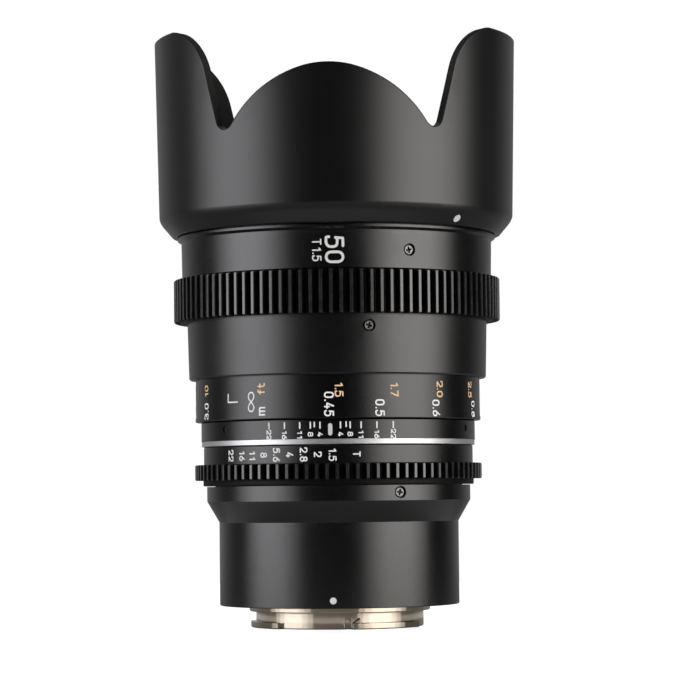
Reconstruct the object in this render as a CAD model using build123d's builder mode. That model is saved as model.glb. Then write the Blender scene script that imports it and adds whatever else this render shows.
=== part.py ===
from build123d import *
from math import asin, cos, degrees, hypot, pi, radians, sin, sqrt, tan
import os

os.makedirs("parts", exist_ok=True)

# Cinema prime lens, in millimetres. The origin is the centre of the mount's flange plane. +Z runs
# along the lens axis to the hood. Azimuths are degrees from -Y, where the index line is, to +X.
# Every piece stands where it is with the lens focused at its nearest and the iris fully open.

# Room between pieces
seat_gap = 0.03
run_gap = 0.06
face_gap = 0.15
loose_gap = 0.3
cement_gap = 0.02
overrun = 1.0
edge_break = 0.2

# Bayonet
bayonet_depth = 5.5
bayonet_r = 21.66
bayonet_wall = 1.76
boss_step = 1.74
boss_depth = 1.4
tab_reach = 1.34
tab_thickness = 1.5
tab_starts = (11.4, -94.0, 158.0)
tab_spans = (53.7, 53.4, 53.7)
lead_rise = 1.35
lead_span = 4.8
pin_slot_azimuth = 8.35
pin_slot_width = 1.62
pin_slot_height = 2.8
pin_slot_depth = 0.9
plate_wall = 5.2
plate_thickness = 1.5
plate_proud = 0.1
mount_screw_count = 4
mount_screw_azimuth = 45.0

# Rear barrel
tube_step = 2.42
tube_wall = 1.6
tube_top = 21.5
tube_edge = 0.2
base_ring_gap = 0.33
base_ring_height = 4.0
cone_height = 5.4
band_height = 3.8
band_wall = 2.11
rear_screw_share = 0.53
rear_screw_azimuth = 30.0
mount_dot_r = 0.84
mount_dot_depth = 0.8
mount_dot_height = 2.06
mount_dot_azimuth = 0.16

# Rear baffle
baffle_wall = 0.9
baffle_drop = 4.6
baffle_flange = 2.4
baffle_opening_width = 30.0
baffle_opening_height = 22.0
baffle_corner = 2.0

# Guide barrel, the fixed tube that carries every ring
guide_step = 0.98
guide_wall = 2.0
guide_seat_depth = 5.1

# Small screws
screw_head_r = 1.3
screw_head_height = 0.7
screw_shank_r = 0.8
screw_recess_r = 1.6
screw_recess_depth = 0.4
drive_width = 1.55
drive_bar = 0.46
drive_depth = 0.55
mount_head_r = 1.7
mount_shank_r = 0.9
mount_screw_length = 5.0
screw_bite = 1.1
rear_screw_turn_angle = -10.0
sleeve_screw_turn_angle = -17.0
front_screw_turn_angle = 12.0

# Aperture ring and gear
gear_module = 0.8
dedendum_share = 1.25
pressure_angle = 20.0
aperture_gear_depth = 2.52
focus_gear_depth = 7.07
aperture_phase_angle = 2.69
focus_phase_angle = 1.19
gear_edge = 0.25
aperture_collar_height = 1.45
aperture_collar_wall = 1.2
aperture_gear_face = 4.0
aperture_seat_wall = 1.79
t_scale_height = 4.55
t_scale_wall = 2.82
aperture_throw_angle = 50.5
drive_pin_r = 1.2
drive_pin_azimuth = 180.0
drive_pin_share = 0.49
drive_pin_cover = 0.6

# Trim ring and index ring
trim_height = 1.3
trim_edge = 0.05
trim_wall = 3.37
index_height = 4.9
index_wall = 3.47
set_screw_r = 0.85
set_screw_drop = 0.5
set_screw_azimuths = (69.5, -50.5, 189.5)
set_screw_share = 0.57

# Focus ring: cam barrel, distance scale, sleeve and gear
cam_wall = 2.44
focus_throw_angle = 150.0
focus_travel = 7.3
scale_height = 10.95
scale_lip_height = 1.0
scale_wall = 2.35
scale_lip = 0.12
sleeve_height = 14.9
sleeve_wall = 4.03
sleeve_top_step = 0.36
sleeve_edge = 0.35
sleeve_screw_drop = 3.0
sleeve_screw_azimuth = 15.0
focus_gear_face = 10.9
follower_azimuth = -45.0
follower_pin_r = 1.1
follower_bite = 3.0
roller_r = 1.9
follower_head_height = 0.5
follower_tip_gap = 0.15
slot_gap = 0.08

# Front barrel
front_wall = 8.17
front_taper = 0.16
front_height = 9.65
flare_height = 1.2
filter_step = 6.1
spigot_wall = 1.8
flange_step = 1.4
flange_lip_height = 0.55
spigot_height = 5.9
groove_depth = 0.9
groove_height = 1.9
groove_drop = 1.8
web_height = 8.25
front_screw_height = 4.75
front_screw_azimuth = 30.0
bezel_height = 3.5
bezel_seat_step = 0.4
bezel_reach = 1.15
bezel_steps = 5

# Hood
hood_rest_angle = 0.95
hood_unlock_angle = 60.0
hood_ring_wall = 1.05
hood_ring_height = 4.75
lug_span = 30.0
lug_play_angle = 1.0
lug_height = 1.5
lug_azimuths = (90.0, 210.0, 330.0)
hood_lip_reach = 1.27
hood_lip_height = 0.2
hood_cone_reach = 2.7
hood_cone_height = 2.7
hood_wall_reach = 3.7
hood_shoulder_height = 4.9
hood_height = 50.65
hood_rim_step = 0.97
hood_wall = 2.6
hood_floor_height = 4.8
hood_floor_reach = 1.15
hood_floor_rise = 2.3
low_petal_drop = 11.39
low_arc_drop = 1.05
low_arc_azimuth = 9.0
petal_overlap = 2.5
notch_azimuth = 35.3
notch_depth = 30.55
notch_round = 2.6
flank_drop = 11.3
flank_azimuth = 41.9
tall_arc_azimuth = 59.3
hood_dot_r = 1.05
hood_dot_depth = 0.6
hood_dot_azimuth = 46.6
hood_dot_share = 0.53

# Glass: a positive curve bulges towards the front of the lens, a negative one towards the mount
front_vertex_drop = 10.0
middle_glass_step = 4.0
rear_glass_step = 6.5
lens_1_top_curve = 52.0
lens_1_edge_thickness = 2.74
lens_1_bottom_curve = 180.0
air_1 = 0.4
lens_2_top_curve = 33.0
lens_2_edge_thickness = 3.79
lens_2_bottom_curve = 80.0
lens_3_thickness = 2.2
lens_3_bottom_curve = 24.0
lens_3_clear_step = 1.5
lens_4_top_curve = -26.0
lens_4_thickness = 2.0
lens_4_bottom_curve = 60.0
lens_5_edge_thickness = 1.09
lens_5_bottom_curve = -48.0
air_5 = 0.5
lens_6_top_curve = 120.0
lens_6_edge_thickness = 1.55
lens_6_bottom_curve = -50.0
lens_7_thickness = 1.8
lens_7_bottom_curve = -160.0
air_7 = 0.5
lens_8_top_curve = 60.0
lens_8_edge_thickness = 1.37
lens_8_bottom_curve = -150.0
air_8 = 0.8
lens_9_top_curve = 90.0
lens_9_thickness = 3.0
lens_9_bottom_curve = 45.0

# Cells and lens barrel of the optical unit
cell_wall = 2.12
cell_thread_step = 0.55
cell_recess = 1.2
shoulder_thickness = 0.8
shoulder_reach = 0.5
retainer_lip = 1.4
retainer_sink = 0.5
spanner_slot_width = 1.6
spanner_slot_depth = 0.8
land_length = 20.0
land_wall = 3.76
funnel_depth = 2.5
skirt_wall = 1.45
rear_cell_wall = 2.0
rear_cell_tail = 1.6
rear_cell_flange = 5.8
rear_cell_neck = 2.0
nose_reach = 1.0
rear_retainer_height = 1.2
rear_retainer_reach = 2.6
spacer_wall = 0.9
spacer_foot = 0.4

# Iris
blade_count = 8
iris_inset = 3.5
iris_closed_r = 1.05
blade_clearance = 0.3
blade_thickness = 0.08
blade_pitch = 0.15
blade_start_angle = -14.0
blade_end_angle = 124.0
pivot_inset = 0.9
blade_arm = 5.0
blade_arm_half = 1.2
blade_pin_r = 0.6
blade_tab_r = 1.6
blade_gap = 0.15
cam_slot_gap = 0.15
cam_ring_thickness = 1.0
cam_ring_rim = 0.6
housing_wall = 1.1
housing_floor = 0.8
cover_thickness = 0.6
window_play_angle = 1.0
tang_gap = 0.69
tang_wall = 1.4
tang_width = 6.0
tang_end = 1.6

# Heights of the rings, stacked from the flange plane
cone_top = tube_top + cone_height
band_top = cone_top + band_height
aperture_bottom = band_top + face_gap
collar_top = aperture_bottom + aperture_collar_height
aperture_gear_top = collar_top + aperture_gear_face
aperture_top = aperture_gear_top + t_scale_height
trim_bottom = aperture_top + face_gap
trim_top = trim_bottom + trim_height
index_top = trim_top + index_height
scale_bottom = index_top + face_gap
scale_top = scale_bottom + scale_height
sleeve_top = scale_top + sleeve_height
focus_gear_top = sleeve_top + focus_gear_face
front_bottom = focus_gear_top + face_gap
flare_bottom = front_bottom + front_height
flange_top = flare_bottom + flare_height
spigot_top = flange_top + spigot_height
hood_bottom = flange_top + loose_gap
hood_rim = hood_bottom + hood_height

# Radii, each from what its piece turns or sits on
boss_r = bayonet_r + boss_step
tab_r = bayonet_r + tab_reach
bayonet_bore_r = bayonet_r - bayonet_wall
plate_r = boss_r + plate_wall
tube_r = plate_r + tube_step
tube_bore_r = tube_r - tube_wall
guide_r = tube_r + guide_step
band_r = guide_r + seat_gap + band_wall
guide_bore_r = guide_r - guide_wall
ring_bore_r = guide_r + run_gap
t_scale_r = ring_bore_r + t_scale_wall
aperture_seat_r = ring_bore_r + aperture_seat_wall
cam_barrel_r = ring_bore_r + cam_wall
focus_bore_r = cam_barrel_r + seat_gap
scale_r = focus_bore_r + scale_wall
sleeve_r = focus_bore_r + sleeve_wall
index_r = guide_r + seat_gap + index_wall
trim_r = guide_r + seat_gap + trim_wall
front_r = guide_r + seat_gap + front_wall
filter_bore_r = guide_r + filter_step
spigot_r = filter_bore_r + spigot_wall
hood_ring_bore_r = spigot_r + run_gap
hood_ring_r = hood_ring_bore_r + hood_ring_wall
hood_wall_r = hood_ring_r + seat_gap + hood_lip_reach + hood_wall_reach
land_r = guide_bore_r - run_gap
front_cell_r = land_r - land_wall - seat_gap
front_glass_r = front_cell_r - cell_wall - seat_gap
middle_glass_r = front_glass_r - middle_glass_step
rear_glass_r = front_glass_r - rear_glass_step
iris_open_r = rear_glass_r - iris_inset


def point_at(azimuth, radius):
    """The place in plan at an azimuth from -Y towards +X."""
    return (radius * sin(radians(azimuth)), -radius * cos(radians(azimuth)))


def outward_plane(azimuth, radius, height):
    """A plane that faces away from the lens axis, with its x along the ring and its y up."""
    x, y = point_at(azimuth, radius)
    away_x, away_y = point_at(azimuth, 1)
    return Plane(origin=(x, y, height), x_dir=(-away_y, away_x, 0), z_dir=(away_x, away_y, 0))


def turn(*outline, mode=Mode.ADD):
    """Revolve a closed outline of (radius, height) points into the piece being made."""
    with BuildSketch(Plane.XZ) as section:
        with BuildLine():
            Polyline(*outline, close=True)
        make_face()
    revolve(section.sketch, axis=Axis.Z, mode=mode)


def turn_part(start, span, *outline, mode=Mode.ADD):
    """Revolve an outline only from one azimuth through a span of degrees."""
    away_x, away_y = point_at(start, 1)
    cut_plane = Plane(origin=(0, 0, 0), x_dir=(away_x, away_y, 0), z_dir=(away_y, -away_x, 0))
    with BuildSketch(cut_plane) as section:
        with BuildLine():
            Polyline(*outline, close=True)
        make_face()
    revolve(section.sketch, axis=Axis.Z, revolution_arc=span, mode=mode)


def box_outline(inner_r, outer_r, bottom, top):
    """The four corners of a plain ring's section."""
    return (inner_r, bottom), (outer_r, bottom), (outer_r, top), (inner_r, top)


def radial_rod(azimuth, height, radius, inner_r, outer_r, mode=Mode.ADD):
    """A round rod or hole that points away from the lens axis."""
    with BuildSketch(outward_plane(azimuth, inner_r, height)) as section:
        Circle(radius)
    extrude(section.sketch, amount=outer_r - inner_r, mode=mode)


def three_around(azimuth):
    """Three places at equal thirds of a turn."""
    return [azimuth + 360 * step / 3 for step in range(3)]


def write_piece(piece, name):
    """Label a finished piece and write its file."""
    piece.label = name
    export_step(piece, f"parts/{name}.step")


def cross_screw(head_r, shank_r, length):
    """A small screw with a cross drive: its head's face is at the origin and it points down."""
    with BuildPart() as screw:
        with BuildSketch():
            Circle(head_r)
        extrude(amount=-screw_head_height)
        chamfer(screw.faces().sort_by(Axis.Z)[-1].edges(), edge_break)
        with BuildSketch(Plane.XY.offset(-screw_head_height)):
            Circle(shank_r)
        extrude(amount=screw_head_height - length)
        with BuildSketch():
            Rectangle(drive_width, drive_bar)
            Rectangle(drive_bar, drive_width)
        extrude(amount=-drive_depth, mode=Mode.SUBTRACT)
    return screw.part


def screw_recesses(azimuths, height, surface_r, depth_r):
    """Cut the counterbores and pilot holes of a ring of radial screws."""
    for azimuth in azimuths:
        face_r = surface_r - screw_recess_depth - screw_head_height - seat_gap
        radial_rod(azimuth, height, screw_recess_r, face_r, surface_r + overrun, Mode.SUBTRACT)
        radial_rod(azimuth, height, screw_shank_r + seat_gap, depth_r, face_r, Mode.SUBTRACT)


def radial_screws(name, azimuths, height, surface_r, tip_r, turned_angle):
    """A group of like screws that are set round a ring, with their crosses turned by an angle."""
    head_face_r = surface_r - screw_recess_depth
    screw = cross_screw(screw_head_r, screw_shank_r, head_face_r - tip_r)
    with BuildPart() as screws:
        for azimuth in azimuths:
            face = outward_plane(azimuth, head_face_r, height)
            with Locations(face.location * Rotation(0, 0, turned_angle)):
                add(screw)
    write_piece(screws.part, name)


def gear_outline(teeth, phase):
    """Corner points of a spur gear's teeth, straight flanks at the standard pressure angle."""
    pitch_r = gear_module * teeth / 2
    tip_r = pitch_r + gear_module
    root_depth = dedendum_share * gear_module
    root_r = pitch_r - root_depth
    tooth_half = pi * gear_module / 4
    slope = tan(radians(pressure_angle))
    tip_half = degrees((tooth_half - gear_module * slope) / tip_r)
    root_half = degrees((tooth_half + root_depth * slope) / root_r)
    points = []
    for tooth in range(teeth):
        centre = phase + 360 * tooth / teeth
        points.append(point_at(centre - root_half, root_r))
        points.append(point_at(centre - tip_half, tip_r))
        points.append(point_at(centre + tip_half, tip_r))
        points.append(point_at(centre + root_half, root_r))
    return points


def gear_teeth(teeth, phase, bottom, top, bore_r):
    """Add a toothed ring, with both ends of its teeth bevelled."""
    tip_r = gear_module * (teeth / 2 + 1)
    with BuildSketch(Plane.XY.offset(bottom)) as section:
        with BuildLine():
            Polyline(*gear_outline(teeth, phase), close=True)
        make_face()
        Circle(bore_r, mode=Mode.SUBTRACT)
    extrude(section.sketch, amount=top - bottom)
    for end, inward in ((bottom, 1), (top, -1)):
        turn(
            (tip_r - gear_edge - overrun, end - inward * overrun),
            (tip_r + overrun, end - inward * overrun),
            (tip_r + overrun, end + inward * (gear_edge + overrun)),
            mode=Mode.SUBTRACT,
        )


# Bayonet: a turned sleeve with a locating boss, three locking tabs and a screwed plate
plate_bottom = 0
plate_top = plate_bottom + plate_thickness
mount_screw_r = (boss_r + plate_r) / 2
tab_bottom = -bayonet_depth
tab_top = tab_bottom + tab_thickness
with BuildPart() as mount_bayonet:
    turn(
        (bayonet_bore_r, -bayonet_depth + edge_break),
        (bayonet_bore_r + edge_break, -bayonet_depth),
        (bayonet_r - edge_break, -bayonet_depth),
        (bayonet_r, -bayonet_depth + edge_break),
        (bayonet_r, -boss_depth),
        (boss_r - edge_break, -boss_depth),
        (boss_r, -boss_depth + edge_break),
        (boss_r, plate_bottom),
        (plate_r - edge_break, plate_bottom),
        (plate_r, plate_bottom + edge_break),
        (plate_r, plate_top),
        (bayonet_bore_r, plate_top),
    )
    for tab_start, tab_span in zip(tab_starts, tab_spans):
        turn_part(
            tab_start,
            tab_span,
            (bayonet_r - bayonet_wall / 2, tab_bottom),
            (tab_r - edge_break, tab_bottom),
            (tab_r, tab_bottom + edge_break),
            (tab_r, tab_top),
            (bayonet_r - bayonet_wall / 2, tab_top),
        )
    with BuildSketch(outward_plane(tab_starts[0], bayonet_r - bayonet_wall / 2, tab_top)):
        with BuildLine():
            Polyline(
                (0, -tab_thickness / 2),
                (tab_r * radians(lead_span), -tab_thickness / 2),
                (tab_r * radians(lead_span), lead_rise),
                (0, 0),
                close=True,
            )
        make_face()
    extrude(amount=bayonet_wall / 2 + tab_reach * cos(radians(lead_span)) - edge_break)
    with BuildSketch(outward_plane(pin_slot_azimuth, bayonet_r - pin_slot_depth, -bayonet_depth)):
        with Locations((0, (pin_slot_height - pin_slot_width / 2) / 2 - overrun / 2)):
            Rectangle(pin_slot_width, pin_slot_height - pin_slot_width / 2 + overrun)
        with Locations((0, pin_slot_height - pin_slot_width / 2)):
            Circle(pin_slot_width / 2)
    extrude(amount=pin_slot_depth + tab_reach + overrun, mode=Mode.SUBTRACT)
    with PolarLocations(mount_screw_r, mount_screw_count, start_angle=mount_screw_azimuth):
        Hole(mount_shank_r + seat_gap)
    with BuildSketch(Plane.XY.offset(plate_bottom - overrun)):
        with PolarLocations(mount_screw_r, mount_screw_count, start_angle=mount_screw_azimuth):
            Circle(mount_head_r + seat_gap)
    extrude(amount=overrun + screw_head_height + seat_gap, mode=Mode.SUBTRACT)
write_piece(mount_bayonet.part, "mount_bayonet")

# Mount screws: they pull the bayonet's plate against the rear barrel's base ring
mount_screw = cross_screw(mount_head_r, mount_shank_r, mount_screw_length)
with BuildPart() as mount_screws:
    with Locations(Plane(origin=(0, 0, plate_bottom + seat_gap), z_dir=(0, 0, -1)).location):
        with PolarLocations(mount_screw_r, mount_screw_count, start_angle=mount_screw_azimuth):
            add(mount_screw)
write_piece(mount_screws.part, "mount_screws")

# Rear baffle: a thin black cup with a frame-shaped opening, dropped into the bayonet
baffle_r = bayonet_bore_r - seat_gap
base_ring_r = baffle_r + baffle_flange + base_ring_gap
baffle_bottom = -baffle_drop
with BuildPart() as rear_baffle:
    turn(*box_outline(baffle_r - baffle_wall, baffle_r, baffle_bottom, plate_top + seat_gap))
    flange_outline = box_outline(
        baffle_r - baffle_wall,
        baffle_r + baffle_flange,
        plate_top + seat_gap,
        plate_top + seat_gap + baffle_wall,
    )
    turn(*flange_outline)
    with BuildSketch(Plane.XY.offset(baffle_bottom)):
        Circle(baffle_r - baffle_wall / 2)
        RectangleRounded(
            baffle_opening_width, baffle_opening_height, baffle_corner, mode=Mode.SUBTRACT
        )
    extrude(amount=baffle_wall)
write_piece(rear_baffle.part, "rear_baffle")

# Rear barrel: the long narrow tube behind the rings, which opens through a cone to the wide band
tube_bottom = plate_bottom + plate_proud
base_bottom = plate_top + seat_gap
base_top = base_bottom + base_ring_height
guide_bottom = band_top - guide_seat_depth
rear_screw_height = cone_top + rear_screw_share * band_height
rear_screw_azimuths = three_around(rear_screw_azimuth)
with BuildPart() as rear_barrel:
    turn(
        (plate_r + seat_gap, tube_bottom),
        (tube_r - tube_edge, tube_bottom),
        (tube_r, tube_bottom + tube_edge),
        (tube_r, tube_top),
        (band_r, cone_top),
        (band_r, band_top),
        (guide_r + seat_gap, band_top),
        (guide_r + seat_gap, guide_bottom - seat_gap),
        (tube_bore_r, guide_bottom - seat_gap),
        (tube_bore_r, base_top),
        (base_ring_r, base_top),
        (base_ring_r, base_bottom),
        (plate_r + seat_gap, base_bottom),
    )
    with BuildSketch(Plane.XY.offset(base_bottom - overrun)):
        with PolarLocations(mount_screw_r, mount_screw_count, start_angle=mount_screw_azimuth):
            Circle(mount_shank_r + seat_gap)
    extrude(amount=mount_screw_length + overrun, mode=Mode.SUBTRACT)
    screw_recesses(rear_screw_azimuths, rear_screw_height, band_r, guide_r - overrun)
    radial_rod(
        mount_dot_azimuth,
        mount_dot_height,
        mount_dot_r + seat_gap,
        tube_r - mount_dot_depth - seat_gap,
        tube_r + overrun,
        Mode.SUBTRACT,
    )
write_piece(rear_barrel.part, "rear_barrel")

# Mount index: a white bead pressed into the rear barrel, level with its surface
with BuildPart() as mount_index_dot:
    radial_rod(
        mount_dot_azimuth, mount_dot_height, mount_dot_r, tube_r - mount_dot_depth, tube_r + seat_gap
    )
write_piece(mount_index_dot.part, "mount_index_dot")
radial_screws(
    "rear_barrel_screws",
    rear_screw_azimuths,
    rear_screw_height,
    band_r,
    guide_r - screw_bite,
    rear_screw_turn_angle,
)

# Guide barrel: the fixed inner tube, slotted for the followers and for the aperture's drive pin
guide_top = front_bottom + web_height - edge_break
drive_pin_height = aperture_gear_top + drive_pin_share * t_scale_height
set_screw_height = trim_top + set_screw_share * index_height
front_screw_z = front_bottom + front_screw_height
front_screw_azimuths = three_around(front_screw_azimuth)
follower_azimuths = three_around(follower_azimuth)
slot_half = roller_r + slot_gap


def surface_height(vertex, curve, radius):
    """Height of a spherical glass surface at a radius from the axis."""
    sag = abs(curve) - sqrt(curve**2 - radius**2)
    return vertex - sag if curve > 0 else vertex + sag


def bottom_vertex(top, top_curve, bottom_curve, edge_r, edge_thickness):
    """Height of a lens's lower vertex that leaves its edge the thickness asked for."""
    top_rim = surface_height(top, top_curve, edge_r)
    return top_rim - edge_thickness - surface_height(0, bottom_curve, edge_r)


# Heights of the front glass surfaces, from the front vertex towards the iris
lens_1_top = spigot_top - front_vertex_drop
lens_1_bottom = bottom_vertex(
    lens_1_top, lens_1_top_curve, lens_1_bottom_curve, front_glass_r, lens_1_edge_thickness
)
lens_2_top = lens_1_bottom - air_1
lens_2_bottom = bottom_vertex(
    lens_2_top, lens_2_top_curve, lens_2_bottom_curve, middle_glass_r, lens_2_edge_thickness
)
lens_3_top = lens_2_bottom - cement_gap
lens_3_bottom = lens_3_top - lens_3_thickness
lens_3_clear_r = iris_open_r + lens_3_clear_step
front_seat = surface_height(lens_3_bottom, lens_3_bottom_curve, lens_3_clear_r) - seat_gap
web_top = front_seat
web_bottom = web_top - shoulder_thickness

# Heights of the iris, hung under the lens barrel's web
housing_top = web_bottom - seat_gap
cover_bottom = housing_top - cover_thickness
cam_ring_top = cover_bottom - face_gap
cam_ring_bottom = cam_ring_top - cam_ring_thickness
blade_stack = blade_pitch * (blade_count - 1) + blade_thickness
first_blade = cam_ring_bottom - blade_gap - blade_stack
floor_top = first_blade - blade_gap
floor_bottom = floor_top - housing_floor

# Heights of the rear glass surfaces, from the iris towards the mount
rear_cell_top = floor_bottom - seat_gap
rear_shoulder = rear_cell_top - funnel_depth - shoulder_thickness
lens_4_clear_r = iris_open_r
lens_4_top = rear_shoulder - seat_gap - surface_height(0, lens_4_top_curve, lens_4_clear_r)
lens_4_bottom = lens_4_top - lens_4_thickness
lens_5_top = lens_4_bottom - cement_gap
lens_5_bottom = bottom_vertex(
    lens_5_top, lens_4_bottom_curve, lens_5_bottom_curve, rear_glass_r, lens_5_edge_thickness
)
lens_6_top = lens_5_bottom - air_5
lens_6_bottom = bottom_vertex(
    lens_6_top, lens_6_top_curve, lens_6_bottom_curve, rear_glass_r, lens_6_edge_thickness
)
lens_7_top = lens_6_bottom - cement_gap
lens_7_bottom = lens_7_top - lens_7_thickness
lens_8_top = lens_7_bottom - air_7
lens_8_bottom = bottom_vertex(
    lens_8_top, lens_8_top_curve, lens_8_bottom_curve, rear_glass_r, lens_8_edge_thickness
)
lens_9_top = lens_8_bottom - air_8
lens_9_bottom = lens_9_top - lens_9_thickness

# Heights of the metal round the front glass
land_bottom = web_bottom + edge_break
land_top = land_bottom + land_length
follower_height = (land_bottom + land_top) / 2
middle_rim = surface_height(lens_2_top, lens_2_top_curve, middle_glass_r)
lens_1_edge = surface_height(lens_1_top, lens_1_top_curve, front_glass_r)
lens_1_rim = surface_height(lens_1_bottom, lens_1_bottom_curve, front_glass_r)
nose_r = middle_glass_r + nose_reach
cell_top = lens_1_top - cell_recess
thread_r = front_glass_r + cell_thread_step
retainer_bore_r = front_glass_r - retainer_lip
retainer_bottom = surface_height(lens_1_top, lens_1_top_curve, retainer_bore_r) + seat_gap

with BuildPart() as guide_barrel:
    turn(*box_outline(guide_bore_r, guide_r, guide_bottom, guide_top))
    for azimuth in follower_azimuths:
        with BuildSketch(
            outward_plane(azimuth, guide_bore_r - overrun, follower_height - focus_travel / 2)
        ):
            SlotCenterToCenter(focus_travel, 2 * slot_half, rotation=90)
        extrude(amount=guide_wall + 2 * overrun, mode=Mode.SUBTRACT)
    pin_slot_half = drive_pin_r + loose_gap
    turn_part(
        drive_pin_azimuth,
        aperture_throw_angle,
        (guide_bore_r - overrun, drive_pin_height - pin_slot_half),
        (guide_r + overrun, drive_pin_height - pin_slot_half),
        (guide_r + overrun, drive_pin_height + pin_slot_half),
        (guide_bore_r - overrun, drive_pin_height + pin_slot_half),
        mode=Mode.SUBTRACT,
    )
    for azimuth in (drive_pin_azimuth, drive_pin_azimuth + aperture_throw_angle):
        radial_rod(
            azimuth,
            drive_pin_height,
            pin_slot_half,
            guide_bore_r - overrun,
            guide_r + overrun,
            Mode.SUBTRACT,
        )
    for azimuth in rear_screw_azimuths:
        radial_rod(
            azimuth,
            rear_screw_height,
            screw_shank_r + seat_gap,
            guide_bore_r - overrun,
            guide_r + overrun,
            Mode.SUBTRACT,
        )
    for azimuth in front_screw_azimuths:
        radial_rod(
            azimuth,
            front_screw_z,
            screw_shank_r + seat_gap,
            guide_bore_r - overrun,
            guide_r + overrun,
            Mode.SUBTRACT,
        )
write_piece(guide_barrel.part, "guide_barrel")

# Aperture ring: turns on the guide barrel, its upper band carries the T-stop scale
with BuildPart() as aperture_ring:
    turn(
        (ring_bore_r, aperture_bottom),
        (aperture_seat_r, aperture_bottom),
        (aperture_seat_r, aperture_gear_top),
        (t_scale_r, aperture_gear_top),
        (t_scale_r, aperture_top - edge_break),
        (t_scale_r - edge_break, aperture_top),
        (ring_bore_r, aperture_top),
    )
    radial_rod(
        drive_pin_azimuth,
        drive_pin_height,
        drive_pin_r + seat_gap,
        ring_bore_r - overrun,
        t_scale_r - drive_pin_cover + seat_gap,
        Mode.SUBTRACT,
    )
write_piece(aperture_ring.part, "aperture_ring")

# Aperture gear: slid over the aperture ring from the mount side, with a plain collar below its teeth
aperture_gear_bore_r = aperture_seat_r + seat_gap
aperture_collar_r = aperture_gear_bore_r + aperture_collar_wall
aperture_teeth = round(2 * (aperture_gear_bore_r + aperture_gear_depth) / gear_module)
with BuildPart() as aperture_gear:
    turn(
        (aperture_gear_bore_r, aperture_bottom),
        (aperture_collar_r - edge_break, aperture_bottom),
        (aperture_collar_r, aperture_bottom + edge_break),
        (aperture_collar_r, collar_top),
        (aperture_gear_bore_r, collar_top),
    )
    gear_teeth(
        aperture_teeth, aperture_phase_angle, collar_top, aperture_gear_top, aperture_gear_bore_r
    )
write_piece(aperture_gear.part, "aperture_gear")

# Trim ring: bright turned metal between the aperture ring and the index ring
with BuildPart() as trim_ring:
    turn(
        (guide_r + seat_gap, trim_bottom),
        (trim_r - trim_edge, trim_bottom),
        (trim_r, trim_bottom + trim_edge),
        (trim_r, trim_top - trim_edge),
        (trim_r - trim_edge, trim_top),
        (guide_r + seat_gap, trim_top),
    )
write_piece(trim_ring.part, "trim_ring")

# Index ring: fixed, carries the focus index line and the depth-of-field marks
with BuildPart() as index_ring:
    turn(
        (guide_r + seat_gap, trim_top),
        (index_r, trim_top),
        (index_r, index_top - edge_break),
        (index_r - edge_break, index_top),
        (guide_r + seat_gap, index_top),
    )
    for azimuth in set_screw_azimuths:
        radial_rod(
            azimuth, set_screw_height, set_screw_r, guide_r, index_r + overrun, Mode.SUBTRACT
        )
write_piece(index_ring.part, "index_ring")

# Set screws: slotted, sunk in the index ring and tight on the guide barrel
with BuildPart() as index_ring_screws:
    for azimuth in set_screw_azimuths:
        radial_rod(
            azimuth,
            set_screw_height,
            set_screw_r - seat_gap,
            guide_r + seat_gap,
            index_r - set_screw_drop,
        )
        with BuildSketch(outward_plane(azimuth, index_r - set_screw_drop, set_screw_height)):
            RegularPolygon(set_screw_r / 2, 6)
        extrude(amount=-set_screw_r, mode=Mode.SUBTRACT)
write_piece(index_ring_screws.part, "index_ring_screws")

# Focus cam barrel: turned by the focus ring, its three helical slots move the followers
cam_barrel_top = focus_gear_top
slot_r = (ring_bore_r + cam_barrel_r) / 2
follower_low = follower_height - focus_travel
cam_pitch = focus_travel * 360 / focus_throw_angle
sleeve_screw_azimuths = three_around(sleeve_screw_azimuth)
sleeve_screw_height = sleeve_top - sleeve_screw_drop
sleeve_screw_r = sleeve_r + sleeve_top_step * (sleeve_height - sleeve_screw_drop) / sleeve_height
with BuildPart() as focus_cam_barrel:
    turn(*box_outline(ring_bore_r, cam_barrel_r, scale_bottom, cam_barrel_top))
    for azimuth in follower_azimuths:
        slot_line = Helix(cam_pitch, focus_travel, slot_r, center=(0, 0, follower_low), lefthand=True)
        slot_path = slot_line.rotate(Axis.Z, azimuth + focus_throw_angle - 90)
        away_x, away_y = point_at(azimuth + focus_throw_angle, 1)
        with BuildSketch(Plane(origin=slot_path @ 0, x_dir=(away_x, away_y, 0), z_dir=slot_path % 0)):
            Rectangle(cam_wall + 2 * overrun, 2 * slot_half)
        sweep(path=slot_path, is_frenet=True, mode=Mode.SUBTRACT)
        for end_azimuth, end_height in (
            (azimuth, follower_height),
            (azimuth + focus_throw_angle, follower_low),
        ):
            radial_rod(
                end_azimuth,
                end_height,
                slot_half,
                ring_bore_r - overrun,
                cam_barrel_r + overrun,
                Mode.SUBTRACT,
            )
    for azimuth in sleeve_screw_azimuths:
        radial_rod(
            azimuth,
            sleeve_screw_height,
            screw_shank_r + seat_gap,
            ring_bore_r - overrun,
            cam_barrel_r + overrun,
            Mode.SUBTRACT,
        )
write_piece(focus_cam_barrel.part, "focus_cam_barrel")

# Distance scale ring: the lowest part of the focus ring, with a fine lip at its foot
with BuildPart() as distance_scale_ring:
    turn(
        (focus_bore_r, scale_bottom),
        (scale_r + scale_lip - edge_break, scale_bottom),
        (scale_r + scale_lip, scale_bottom + edge_break),
        (scale_r + scale_lip, scale_bottom + scale_lip_height),
        (scale_r, scale_bottom + scale_lip_height),
        (scale_r, scale_top),
        (focus_bore_r, scale_top),
    )
write_piece(distance_scale_ring.part, "distance_scale_ring")

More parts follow.
